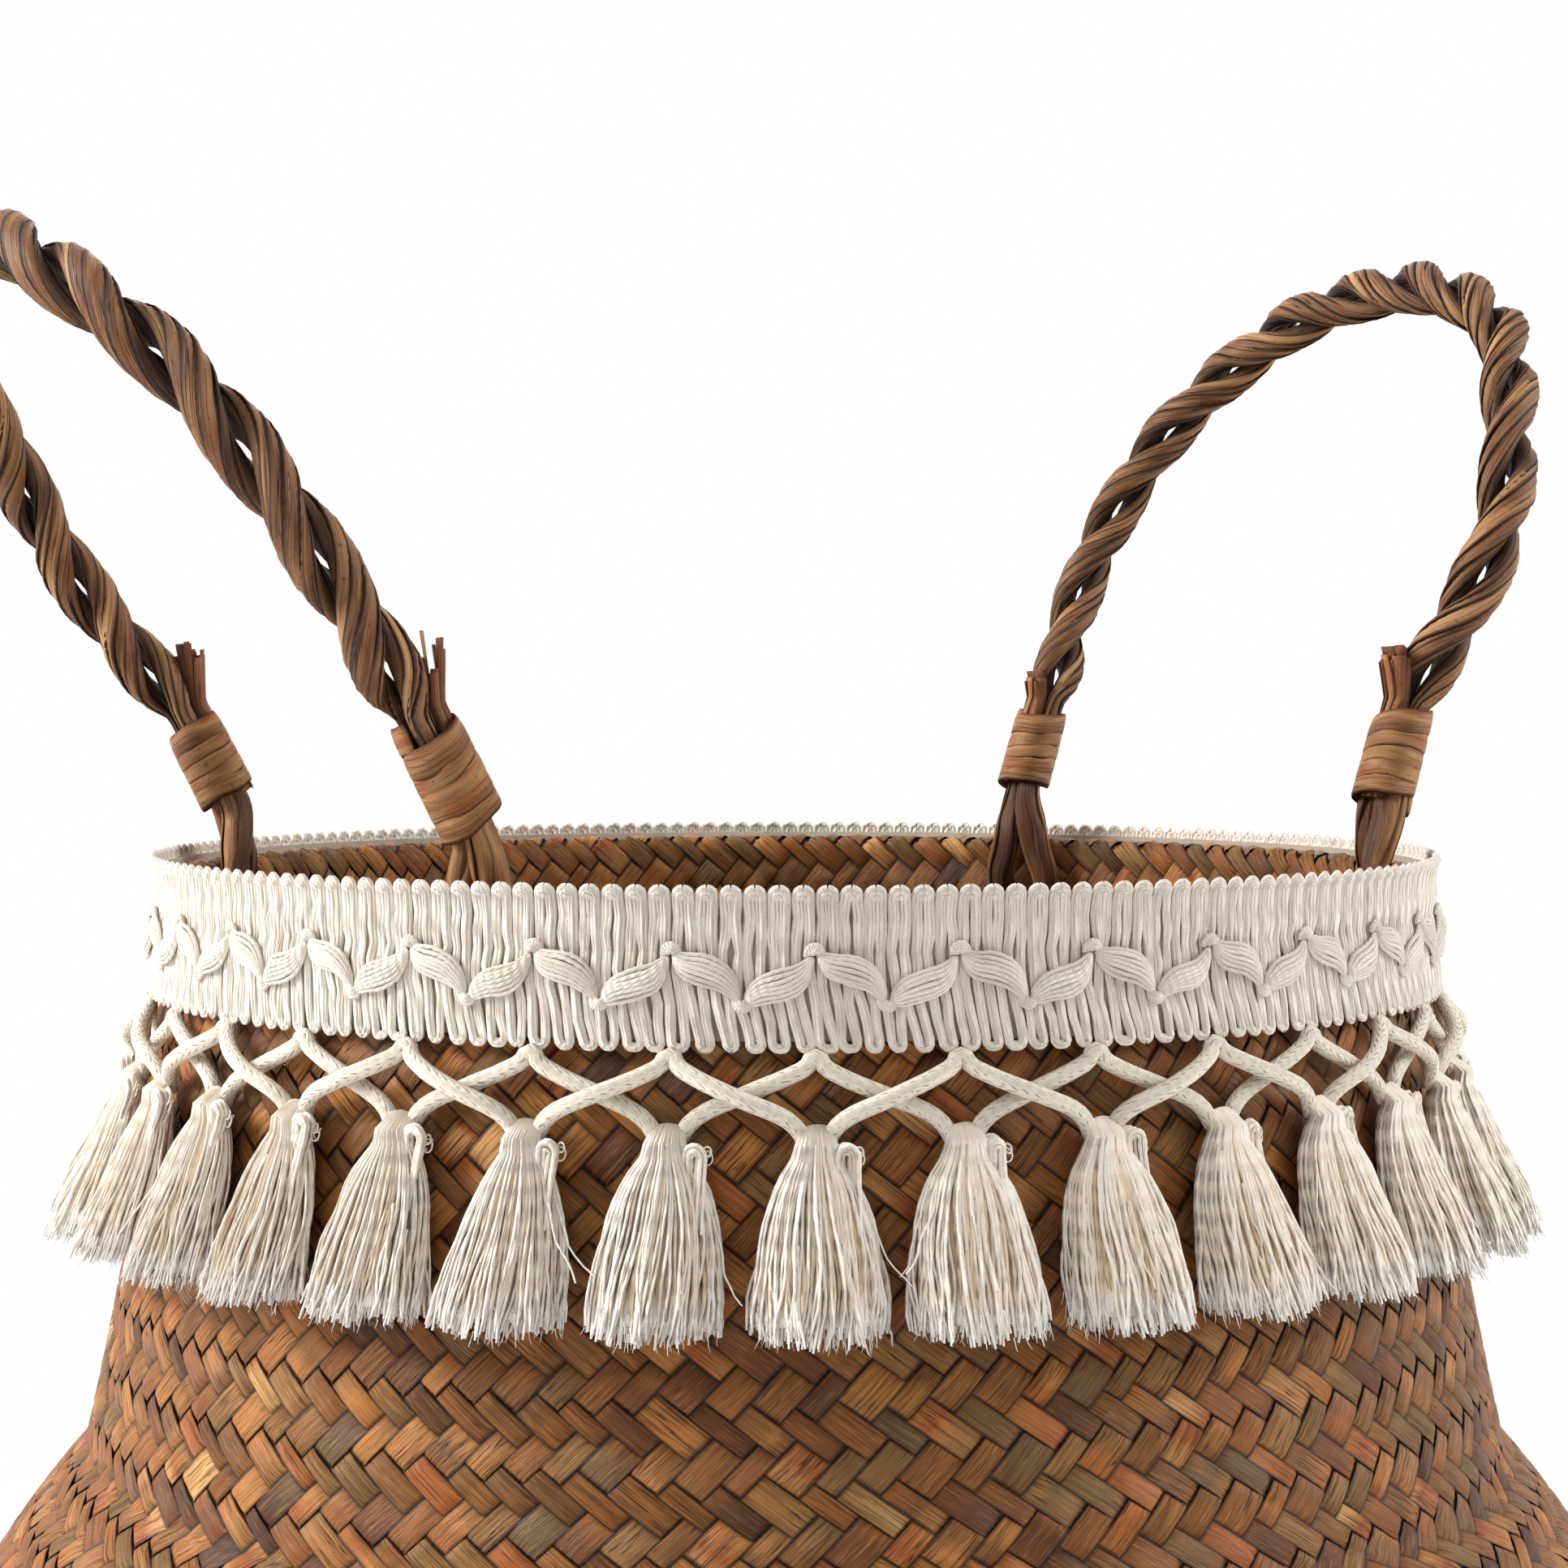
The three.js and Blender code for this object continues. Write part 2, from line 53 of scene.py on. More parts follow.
class Nodes:
    def __init__(self, tree):
        self.tree = tree
        tree.nodes.clear()

    def add(self, kind, sockets=None, out=0, **settings):
        node = self.tree.nodes.new(kind)
        for name, value in settings.items():
            setattr(node, name, value)
        for name, value in (sockets or {}).items():
            self.plug(value, node.inputs[name])
        return Wire(self, node.outputs[out]) if node.outputs else node

    def plug(self, value, target):
        if isinstance(value, Wire):
            self.tree.links.new(value.socket, target)
        elif isinstance(value, (tuple, list)) and len(target.default_value) == 4:
            target.default_value = (*value[:3], 1.0)
        else:
            target.default_value = value

    def maths(self, operation, *values):
        return self.add("ShaderNodeMath", dict(enumerate(values)), operation=operation)

    def most(self, first, *others):
        for other in others:
            first = self.maths("MAXIMUM", first, other)
        return first

    def least(self, a, b):
        return self.maths("MINIMUM", a, b)

    def vector(self, operation, *values, out=0):
        return self.add("ShaderNodeVectorMath", dict(enumerate(values)), out=out, operation=operation)

    def scaled(self, vector, size):
        return self.add("ShaderNodeVectorMath", {0: vector, "Scale": size}, operation="SCALE")

    def crossed(self, a, b):
        return self.vector("NORMALIZE", self.vector("CROSS_PRODUCT", a, b))

    def xyz(self, x=0.0, y=0.0, z=0.0):
        return self.add("ShaderNodeCombineXYZ", {0: x, 1: y, 2: z})

    def polar(self, radius, angle, z):
        return self.xyz(radius * angle.cos(), radius * angle.sin(), z)

    def split(self, vector):
        return self.add("ShaderNodeSeparateXYZ", {0: vector})

    def mix(self, share, a, b):
        return self.add("ShaderNodeMix", {0: share, 6: a, 7: b}, out=2, data_type="RGBA")

    def stops(self, share, colours):
        made = self.add("ShaderNodeValToRGB", {0: share})
        line = made.socket.node.color_ramp.elements
        while len(line) < len(colours):
            line.new(1.0)
        for stop, (place, *rgb) in zip(line, colours):
            stop.position = place
            stop.color = (*linear(*rgb), 1.0)
        return made

    def spread(self, value, low, high, newLow=0.0, newHigh=1.0, shape="SMOOTHSTEP"):
        return self.add("ShaderNodeMapRange", {0: value, 1: low, 2: high, 3: newLow, 4: newHigh},
                        interpolation_type=shape)

    def fade(self, value, low, high):
        return self.spread(value, low, high, 1.0, 0.0)

    def ramp(self, value, low, high, newLow=0.0, newHigh=1.0):
        return self.spread(value, low, high, newLow, newHigh, "LINEAR")

    def curve(self, value, places, heights):
        made = self.add("ShaderNodeFloatCurve", {"Value": value})
        mapping = made.socket.node.mapping
        line = mapping.curves[0].points
        for k, place in enumerate(zip(places, heights)):
            point = line[k] if k < len(line) else line.new(0.5, 0.5)
            point.location = place
        mapping.update()
        return made

    # A fixed number reaches the ID through a linked node, because an unlinked ID means the element's index
    def random(self, low, high, number, seed):
        if isinstance(number, int):
            number = self.add("FunctionNodeInputInt", integer=number)
        return self.add("FunctionNodeRandomValue", {2: low, 3: high, "ID": number, "Seed": seed}, out=1,
                        data_type="FLOAT")

    def noise(self, place, scale, detail=2.0, rough=0.5, out=0):
        return self.add("ShaderNodeTexNoise", {
            "Vector": place, "Scale": scale, "Detail": detail, "Roughness": rough}, out=out)

    def drift(self, x, y=0.0, z=0.0, detail=0.0, rough=0.5, out=0):
        return self.noise(self.xyz(x, y, z), 1.0, detail, rough, out)

    def sway(self, x, y=0.0, z=0.0, detail=0.0):
        return self.drift(x, y, z, detail) - 0.5

    def circle(self, corners):
        return self.add("GeometryNodeCurvePrimitiveCircle", {"Resolution": corners, "Radius": 1.0})

    def cylinder(self, sides, steps):
        return self.add("GeometryNodeMeshCylinder", {
            "Vertices": sides, "Side Segments": steps, "Radius": 1.0, "Depth": 1.0}, fill_type="TRIANGLE_FAN")

    def turned(self, geometry, lean, turn, place=(0, 0, 0)):
        return self.add("GeometryNodeTransform", {
            "Geometry": geometry, "Rotation": self.xyz(0.0, lean, turn), "Translation": place})

    def index(self):
        return self.add("GeometryNodeInputIndex")

    def position(self):
        return self.add("GeometryNodeInputPosition")

    def named(self, *names, kind="FLOAT"):
        return [self.add("GeometryNodeInputNamedAttribute", {"Name": name}, data_type=kind) for name in names]

    def moved(self, geometry, place):
        return self.add("GeometryNodeSetPosition", {"Geometry": geometry, "Position": place})

    def store(self, geometry, **values):
        for name, value in values.items():
            geometry = self.add("GeometryNodeStoreNamedAttribute", {
                "Geometry": geometry, "Name": name, "Value": value}, data_type="FLOAT", domain="POINT")
        return geometry

    def join(self, *parts):
        joined = self.tree.nodes.new("GeometryNodeJoinGeometry")
        for part in reversed(parts):
            self.plug(part, joined.inputs[0])
        return Wire(self, joined.outputs[0])

    def copies(self, shape, count):
        points = self.store(self.add("GeometryNodePoints", {"Count": count}), number=self.index())
        laid = self.add("GeometryNodeInstanceOnPoints", {"Points": points, "Instance": shape})
        return self.add("GeometryNodeRealizeInstances", {"Geometry": laid})

    def read(self, *names):
        return [self.add("ShaderNodeAttribute", attribute_name=name)["Fac"] for name in names]

    def place(self):
        return self.add("ShaderNodeTexCoord", out="Object")


def single(operation):
    return lambda wire: wire.nodes.maths(operation, wire)


def pair(operation):
    return lambda wire, other: wire.nodes.maths(operation, wire, other)


def swapped(operation):
    return lambda wire, other: wire.nodes.maths(operation, other, wire)


class Wire:
    def __init__(self, nodes, socket):
        self.nodes = nodes
        self.socket = socket

    def __getitem__(self, name):
        return Wire(self.nodes, self.socket.node.outputs[name])

    __add__, __radd__ = pair("ADD"), swapped("ADD")
    __sub__, __rsub__ = pair("SUBTRACT"), swapped("SUBTRACT")
    __mul__, __rmul__ = pair("MULTIPLY"), swapped("MULTIPLY")
    __truediv__, __rtruediv__ = pair("DIVIDE"), swapped("DIVIDE")
    __mod__, __pow__ = pair("FLOORED_MODULO"), pair("POWER")
    sin, cos, abs = single("SINE"), single("COSINE"), single("ABSOLUTE")
    floor, fraction = single("FLOOR"), single("FRACT")


# Which group of so many a number falls in, and its place there. The nudge stops rounding from losing one

def groupOf(number, size, nudge=0.001):
    return (number / size + nudge).floor()


def grouped(number, size):
    group = groupOf(number, size)
    return group, number - group * size


def linear(*rgb):
    return tuple((c / 255 / 12.92) if c <= 10 else ((c / 255 + 0.055) / 1.055) ** 2.4 for c in rgb)


def addObject(name, data):
    made = bpy.data.objects.new(name, data)
    bpy.context.scene.collection.objects.link(made)
    return made


def openLook(name):
    material = bpy.data.materials.new(name)
    material.use_nodes = True
    return material, Nodes(material.node_tree)


def closeLook(nodes, base, rough, relief, strength, depth, shine, sheen=0.0):
    bump = nodes.add("ShaderNodeBump", {"Strength": strength, "Distance": depth * mm, "Height": relief})
    shader = nodes.add("ShaderNodeBsdfPrincipled", {
        "Base Color": base, "Roughness": rough, "Normal": bump, "Specular IOR Level": shine,
        "Sheen Weight": sheen})
    nodes.add("ShaderNodeOutputMaterial", {0: shader})


def openTree(name, **inputs):
    tree = bpy.data.node_groups.new(name, "GeometryNodeTree")
    kinds = {float: "NodeSocketFloat", int: "NodeSocketInt", bpy.types.Object: "NodeSocketObject",
             bpy.types.Material: "NodeSocketMaterial"}
    for label, kind in {**inputs, "material": bpy.types.Material}.items():
        tree.interface.new_socket(name=label, in_out="INPUT", socket_type=kinds[kind])
    tree.interface.new_socket(name="Geometry", in_out="OUTPUT", socket_type="NodeSocketGeometry")
    nodes = Nodes(tree)
    return nodes, nodes.add("NodeGroupInput")


def closeTree(nodes, geometry, given):
    smooth = nodes.add("GeometryNodeSetShadeSmooth", {"Geometry": geometry})
    real = nodes.add("GeometryNodeRealizeInstances", {"Geometry": smooth})
    dressed = nodes.add("GeometryNodeSetMaterial", {"Geometry": real, "Material": given["material"]})
    nodes.add("NodeGroupOutput", {0: dressed})
    return nodes.tree


def grow(tree, name, **values):
    holder = addObject(name, bpy.data.meshes.new(name))
    modifier = holder.modifiers.new("grow", "NODES")
    modifier.node_group = tree
    sockets = {item.name: item.identifier for item in tree.interface.items_tree if item.in_out == "INPUT"}
    for label, value in values.items():
        modifier[sockets[label]] = value
    holder.update_tag()
    graph = bpy.context.evaluated_depsgraph_get()
    made = bpy.data.meshes.new_from_object(holder.evaluated_get(graph), preserve_all_data_layers=True,
                                           depsgraph=graph)
    holder.modifiers.clear()
    empty = holder.data
    holder.data = made
    made.name = name
    bpy.data.meshes.remove(empty)
    return holder


def metres(sizes, *names):
    return {name: sizes[name] * mm for name in names}


# A table is a mesh without faces whose points list a path, and a tree looks places up between its points

def addTable(name, points, outward, **widths):
    mesh = bpy.data.meshes.new(name)
    mesh.from_pydata(points.tolist(), [], [])
    mesh.attributes.new("outward", "FLOAT_VECTOR", "POINT").data.foreach_set("vector", np.ravel(outward))
    for label, values in widths.items():
        mesh.attributes.new(label, "FLOAT", "POINT").data.foreach_set("value", np.ravel(values) * mm)
    return addObject(name, mesh)


def lookUp(nodes, table, value, place, kind="FLOAT_VECTOR"):
    below = place.floor()
    low, high = (nodes.add("GeometryNodeSampleIndex", {"Geometry": table, "Value": value, "Index": index},
                           data_type=kind, domain="POINT", clamp=True) for index in (below, below + 1.0))
    if kind == "FLOAT":
        return low + (high - low) * (place - below)
    return nodes.vector("ADD", low, nodes.scaled(nodes.vector("SUBTRACT", high, low), place - below))


# Flat strips cut from one grid: each has its own number, and across it runs from -1 to 1

def layStrips(nodes, strips, columns, rows):
    grid = nodes.add("GeometryNodeMeshGrid", {
        "Size X": 1.0, "Size Y": 1.0, "Vertices X": strips * columns, "Vertices Y": rows})
    between = nodes.maths("GREATER_THAN", groupOf(nodes.index(), rows - 1.0) % columns, columns - 1.5)
    laid = nodes.add("GeometryNodeDeleteGeometry", {"Geometry": grid, "Selection": between}, domain="FACE")
    column, row = grouped(nodes.index(), rows)
    number, side = grouped(column, columns)
    return laid, number, row, side / (columns - 1.0) * 2.0 - 1.0


# Yarns: many short curves are laid by a rule, and a round section is swept along each

def layYarns(nodes, lay, thickness, count, steps, sides, **taperSizes):
    line = nodes.add("GeometryNodeResampleCurve", {
        "Curve": nodes.add("GeometryNodeCurvePrimitiveLine", {"End": (0, 0, 1)}), "Count": steps})
    laid = nodes.copies(nodes.store(line, along=nodes.add("GeometryNodeSplineParameter")), count)
    number, along = nodes.named("number", "along")
    return sweep(nodes, nodes.moved(laid, lay(number, along)), sides, thickness(number, along))


def taper(yarn):
    return lambda number, along: (yarn["radius"] - along * yarn["thinning"]) * mm


def sweep(nodes, curves, sides, thickness):
    ring = nodes.store(nodes.circle(sides), around=nodes.index() / float(sides))
    return nodes.add("GeometryNodeCurveToMesh", {
        "Curve": curves, "Profile Curve": ring, "Scale": thickness, "Fill Caps": True})


# Body profile, the same as the solid's. The basket's sizes are in millimetres and its angles in degrees

body = dict(rimHeight=360, rimRadius=130, creaseHeight=242, creaseRadius=147, bellyHeight=155,
            bellyRadius=186, baseRadius=110, neckCurve=1.6, hemThickness=6.5, hemDepth=28, hemBelow=1.5)


# Outer radius of the wall at a height, and its slope there

def wallAt(z):
    if z <= body["bellyHeight"]:
        u = (body["bellyHeight"] - z) / body["bellyHeight"]
        spread = body["bellyRadius"] - body["baseRadius"]
        return body["baseRadius"] + spread * (1 - u * u), 2 * spread * u / body["bellyHeight"]
    if z < body["creaseHeight"]:
        rise = body["creaseHeight"] - body["bellyHeight"]
        v = (z - body["bellyHeight"]) / rise
        spread = body["bellyRadius"] - body["creaseRadius"]
        return body["bellyRadius"] - spread * v * v, -2 * spread * v / rise
    rise = body["rimHeight"] - body["creaseHeight"]
    w = max(0.0, (body["rimHeight"] - z) / rise)
    spread = body["creaseRadius"] - body["rimRadius"]
    slope = -body["neckCurve"] * spread * w ** (body["neckCurve"] - 1) / rise
    return body["rimRadius"] + spread * w ** body["neckCurve"], slope


def outerRadius(z):
    return wallAt(z)[0]


# The neck's outer radius in a tree, from the distance below the rim, in metres

def neckRadius(nodes, down):
    rise = body["rimHeight"] - body["creaseHeight"]
    spread = (body["creaseRadius"] - body["rimRadius"]) * mm
    share = nodes.most(down / (rise * mm), 0.0)
    return body["rimRadius"] * mm + spread * share ** body["neckCurve"]


def aboveBase(down):
    return body["rimHeight"] * mm - down


# Plaited wall: two families of flat strips run round it in opposite slants, over two and under two

plait = dict(strips=116, stripWidth=4.9, bellyWiden=0.12, skew=5.0, fullest=0.93, steepest=1.35, lift=0.42,
             crown=0.5, across=4, rowsPerCross=2.5, jitter=0.9, ringSize=16.0, secondRing=9.7, tip=1.1,
             middle=1.45, startRadius=97, baseEnd=109.4, startHeight=1.5, foldBelow=2.9, foldSteps=14,
             step=0.5, evenStep=0.4, softLength=40, softRounds=30, lookups=8, seed=3.0)


# Middle line of the wall: from the base, up, over the hem's fold and down its inside

def wallPath():
    middle, step = plait["middle"], plait["step"]
    points = [(r, plait["startHeight"]) for r in np.arange(plait["startRadius"], plait["baseEnd"], step)]
    top = body["rimHeight"] - body["hemBelow"] - plait["foldBelow"]
    for z in np.arange(plait["startHeight"], top, step):
        radius, slope = wallAt(z)
        points.append((radius - middle * math.hypot(1, slope), z))
    outer, inner = outerRadius(top) - middle, outerRadius(top) - body["hemThickness"] + middle
    fold = (outer - inner) / 2
    for a in np.linspace(0, math.pi, plait["foldSteps"]):
        points.append(((outer + inner) / 2 + fold * math.cos(a), top + fold * math.sin(a)))
    for z in np.arange(top - step, body["rimHeight"] - body["hemDepth"], -step):
        points.append((outerRadius(z) - body["hemThickness"] + middle, z))
    points = np.array(points)
    gaps = np.hypot(*np.diff(points, axis=0).T)
    along = np.concatenate([[0], np.cumsum(gaps)])
    even = np.arange(0, along[-1], plait["evenStep"])
    soft = np.stack([np.interp(even, along, points[:, 0]), np.interp(even, along, points[:, 1])], 1)
    low = even < plait["softLength"]
    for _ in range(plait["softRounds"]):
        soft[1:-1] = np.where(low[1:-1, None], (soft[:-2] + soft[2:]) / 2, soft[1:-1])
    return even, soft


# Strips of one width fill every height, so the two families cross at smaller angles where the wall is wider

def slants(radius):
    spread = body["bellyRadius"] - body["creaseRadius"]
    bulge = np.clip((radius - body["creaseRadius"]) / spread, 0, 1)
    wide = plait["stripWidth"] * (1 + plait["bellyWiden"] * bulge)
    share = np.clip(wide * plait["strips"] / (tau * radius), 0, plait["fullest"])
    angle = np.arcsin(share)
    skew = math.radians(plait["skew"])
    return angle + skew, angle - skew


# Lists the middle line by how often two strips have crossed on the way up, with the turn made by then

def plaitTable():
    even, path = wallPath()
    steep, flat = slants(path[:, 0])
    step = np.gradient(even)
    turnA = np.cumsum(step / np.tan(np.minimum(steep, plait["steepest"])) / path[:, 0])
    turnB = np.cumsum(step / np.tan(flat) / path[:, 0])
    crossings = (turnA + turnB) * plait["strips"] / tau
    crossings -= crossings[0]
    total = math.floor(crossings[-1])
    way = np.gradient(path, axis=0)
    way /= np.linalg.norm(way, axis=1)[:, None]
    ask = np.arange(0, total, 1 / plait["lookups"])
    radius, height, turn, outR, outZ = (
        np.interp(ask, crossings, values) for values in (*path.T, turnA, way[:, 1], -way[:, 0]))
    return addTable("plaitTable", np.stack([radius * mm, turn, height * mm], 1),
                    np.stack([outR, outZ, 0 * outR], 1)), total


def plaitTree():
    nodes, given = openTree("plaited wall", strips=int, firstStrip=int, stripsMade=int, crossings=float,
                            rising=float, lift=float, crown=float, table=bpy.types.Object)
    rows = (given["crossings"] * plait["rowsPerCross"]).floor() + 1.0
    strips, local, row, across = layStrips(nodes, given["stripsMade"], plait["across"], rows)
    strips = nodes.store(strips, number=local + given["firstStrip"], along=row / plait["rowsPerCross"],
                         across=across)
    number, along, across = nodes.named("number", "along", "across")

    total = given["strips"] * 1.0
    rising = given["rising"]
    phase = ((along + 0.5) * (math.pi / 2)).cos()
    over = nodes.spread(phase, -0.5, 0.5, -1.0, 1.0) * (rising * 2.0 - 1.0)
    fill = 0.94 + nodes.drift(number * 7.31, rising * 31.0, along * 0.22, detail=1.0) * 0.14
    edge = across * fill * 0.5

    def settled(place, seed):
        ring = nodes.polar(plait["ringSize"], place * tau / total, seed)
        return place + (nodes.noise(ring, 1.0, 0.0) - 0.5) * plait["jitter"]

    u = settled(number + rising * edge + (rising - 1.0) * along, plait["seed"])
    v = settled(number + (1.0 - rising) * edge + rising * along, plait["seed"] + plait["secondRing"])
    cross = nodes.most(v - u, 0.0) * float(plait["lookups"])
    table = nodes.add("GeometryNodeObjectInfo", {"Object": given["table"]}, out="Geometry")
    place = nodes.split(lookUp(nodes, table, nodes.position(), cross))
    outward = nodes.split(lookUp(nodes, table, *nodes.named("outward", kind="FLOAT_VECTOR"), cross))
    angle = u * tau / total + place["Y"]
    tip = nodes.sway(number * 3.7, rising * 17.0, along * 0.25) * plait["tip"] * across
    rounded = given["crown"] * (1.0 - across * across)
    proud = (over * (given["lift"] + rounded) + over * tip * given["lift"]) * mm
    radius = place["X"] + outward["X"] * proud
    height = place["Z"] + outward["Y"] * proud
    placed = nodes.moved(strips, nodes.polar(radius, angle, height))
    placed = nodes.store(placed, over=over * (rising * 2.0 - 1.0), family=rising)
    return closeTree(nodes, placed, given)


def stripMaterial():
    material, nodes = openLook("plaited seagrass")
    number, along, across, family, over = nodes.read("number", "along", "across", "family", "over")
    stripTone = nodes.drift(number * 5.3, family * 40.0)
    floatTone = nodes.drift(number * 5.3, family * 40.0, along * 0.16, detail=2.0)
    grain = nodes.drift(number * 9.1, across * 5.0, along * 0.55, detail=3.0, rough=0.7)
    fine = nodes.drift(number * 3.3, across * 17.0, along * 0.9, detail=2.0, rough=0.6)
    tone = (stripTone - 0.5) * 1.6 + (floatTone - 0.5) * 1.9 + 0.5
    base = nodes.stops(tone, [(0.0, 70, 36, 17), (0.2, 106, 58, 26), (0.36, 146, 88, 40), (0.5, 126, 80, 37),
                              (0.64, 182, 120, 60), (0.8, 158, 82, 34), (1.0, 218, 164, 100)])
    olive = nodes.spread(nodes.drift(number * 2.1, family * 11.0, along * 0.1), 0.55, 0.65)
    base = nodes.mix(olive * 0.55, base, linear(112, 92, 54))
    base = nodes.mix(nodes.spread(grain, 0.28, 0.6, 0.62, 0.0), base, linear(58, 31, 15))
    base = nodes.mix(nodes.spread(fine, 0.52, 0.7) * 0.36, base, linear(198, 150, 92))
    vein = nodes.sway(number * 7.7, across * 4.2 + family * 3.0, along * 0.16, detail=2.0)
    crack = nodes.fade(vein.abs(), 0.004, 0.022) * nodes.spread(floatTone, 0.42, 0.55)
    # Painted shade: each strip goes darker over the outer tenth of its width at each edge, where it meets its
    # neighbours
    side = nodes.spread(across.abs(), 0.8, 1.0) * 0.9
    # Painted shade: a strip goes darker where it turns to pass under the crossing strips. A piece that stores
    # no over, as the base mat, gets it all over at 0.85
    crossingShade = nodes.spread(over.abs(), 0.0, 0.6, 0.85, 0.0)
    # The cracks are the strips' own; the edge and crossing darkening mixed in with them towards dark brown is
    # painted shade
    base = nodes.mix(nodes.most(side, crossingShade, crack * 0.8), base, linear(34, 18, 10))
    rough = 0.36 + nodes.spread(fine, 0.3, 0.7) * 0.22
    closeLook(nodes, base, rough, grain * 0.6 + fine * 0.5 - crack * 0.9, strength=0.7, depth=0.7, shine=0.22)
    return material


# Camera, lamps and floor, in metres

view = dict(azimuth=-28, distance=0.65, height=0.393, lens=71.0, sensor=36, tilt=1.64, shift=-0.0067,
            near=0.01, lampAim=0.25)
turn = math.radians(view["azimuth"])
right, front = Vector((math.cos(turn), math.sin(turn), 0)), Vector((math.sin(turn), -math.cos(turn), 0))
camera = bpy.data.cameras.new("camera")
camera.lens, camera.sensor_width, camera.shift_x = view["lens"], view["sensor"], view["shift"]
camera.clip_start = view["near"]
eye = addObject("camera", camera)
eye.location = (view["distance"] * math.sin(turn), -view["distance"] * math.cos(turn), view["height"])
eye.rotation_euler = (math.radians(90 - view["tilt"]), 0, turn)
bpy.context.scene.camera = eye
bpy.context.scene.view_settings.view_transform = "Standard"


def lamp(name, aside, towards, height, size, power):
    data = bpy.data.lights.new(name, "AREA")
    data.shape, data.size, data.energy = "DISK", size, power
    made = addObject(name, data)
    made.location = right * aside + front * towards + Vector((0, 0, height))
    aim = Vector((0, 0, view["lampAim"])) - made.location
    made.rotation_euler = aim.to_track_quat("-Z", "Y").to_euler()


lamp("key lamp", -1.75, 0.12, 1.2, 1.0, 58)
lamp("side lamp", 1.6, -0.02, 1.1, 1.0, 24)
lamp("top lamp", -0.3, 1.2, 1.9, 1.0, 8)
lamp("back lamp", -0.2, -1.7, 1.5, 1.4, 10)


# What the camera sees of floor and air away from the basket is plain white, as in the photo

def directly(nodes):
    seen = nodes.add("ShaderNodeLightPath")
    return nodes.most(seen["Is Camera Ray"], seen["Is Glossy Ray"], seen["Is Transmission Ray"])


ground = dict(halfWide=6, whiteFrom=0.35, whiteTo=1.0, airLight=0.37)
floorMesh = bpy.data.meshes.new("floor")
floorMesh.from_pydata([(x * ground["halfWide"], y * ground["halfWide"], 0)
                       for x, y in ((-1, -1), (1, -1), (1, 1), (-1, 1))], [], [(0, 1, 2, 3)])
floor = addObject("floor", floorMesh)
floorLook, nodes = openLook("pale floor")
matt = nodes.add("ShaderNodeBsdfPrincipled", {"Base Color": (0.9, 0.9, 0.9), "Roughness": 0.8})
glare = nodes.add("ShaderNodeEmission", {"Color": (1, 1, 1), "Strength": 1.0})
away = nodes.vector("LENGTH", nodes.place(), out="Value")
far = nodes.spread(away, ground["whiteFrom"], ground["whiteTo"]) * directly(nodes)
nodes.add("ShaderNodeOutputMaterial", {0: nodes.add("ShaderNodeMixShader", {0: far, 1: matt, 2: glare})})
floor.data.materials.append(floorLook)

world = bpy.data.worlds.new("studio")
bpy.context.scene.world = world
world.use_nodes = True
nodes = Nodes(world.node_tree)
soft = nodes.add("ShaderNodeBackground", {"Color": (1, 1, 1), "Strength": ground["airLight"]})
white = nodes.add("ShaderNodeBackground", {"Color": (1, 1, 1), "Strength": 1.0})
air = nodes.add("ShaderNodeMixShader", {0: directly(nodes), 1: soft, 2: white})
nodes.add("ShaderNodeOutputWorld", {0: air})
print("stage and camera made")


# Plaited wall pieces

seagrass = stripMaterial()
table, crossings = plaitTable()
wallTree = plaitTree()
wallPieces = []
for label, rising in (("rising", 1.0), ("falling", 0.0)):
    half = plait["strips"] // 2
    for part in (0, 1):
        piece = grow(wallTree, f"plaited_wall_{label}_{part + 1}", strips=plait["strips"],
                     firstStrip=part * half, stripsMade=half, crossings=float(crossings - 1), rising=rising,
                     lift=plait["lift"], crown=plait["crown"], table=table, material=seagrass)
        wallPieces.append(piece)
        print(piece.name, len(piece.data.polygons), "faces")
bpy.data.objects.remove(table)
for piece in wallPieces:
    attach(piece, "basket")
    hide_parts("woven_body")


# Trim braid: one yarn of three plies runs up and down in loops, drawn in by two rows of stitches,
# with a fat yarn in leaf-shaped puffs over its middle and knots between the puffs

trim = dict(height=26.3, loops=204, plies=3, plyRadius=0.45, plyStep=0.6, steps=33, sides=4, pathRadius=131.6,
            slant=3.9, pinchUp=0.36, pinchDown=0.67, pinchWidth=0.075, turnShare=0.12, seat=0.95, wander=2.2,
            backing=0.6, backingGap=0.3, backingFoot=1.2, backingBend=347, backingTop=358.6, backingSides=170,
            leaves=68, leafTop=12.0, leafDrop=4.9, leafPlies=7, leafSteps=15, leafSides=5, leafRadius=0.44,
            leafWidth=0.72, leafSeat=2.2, leafSway=1.3, knotTop=9.7, knotDrop=9.2, knotPlies=4, knotSteps=12,
            knotRadius=0.46, seed=5.0)


def onNeck(nodes, aside, down, proud):
    return nodes.polar(neckRadius(nodes, down) + proud, aside / (trim["pathRadius"] * mm), aboveBase(down))


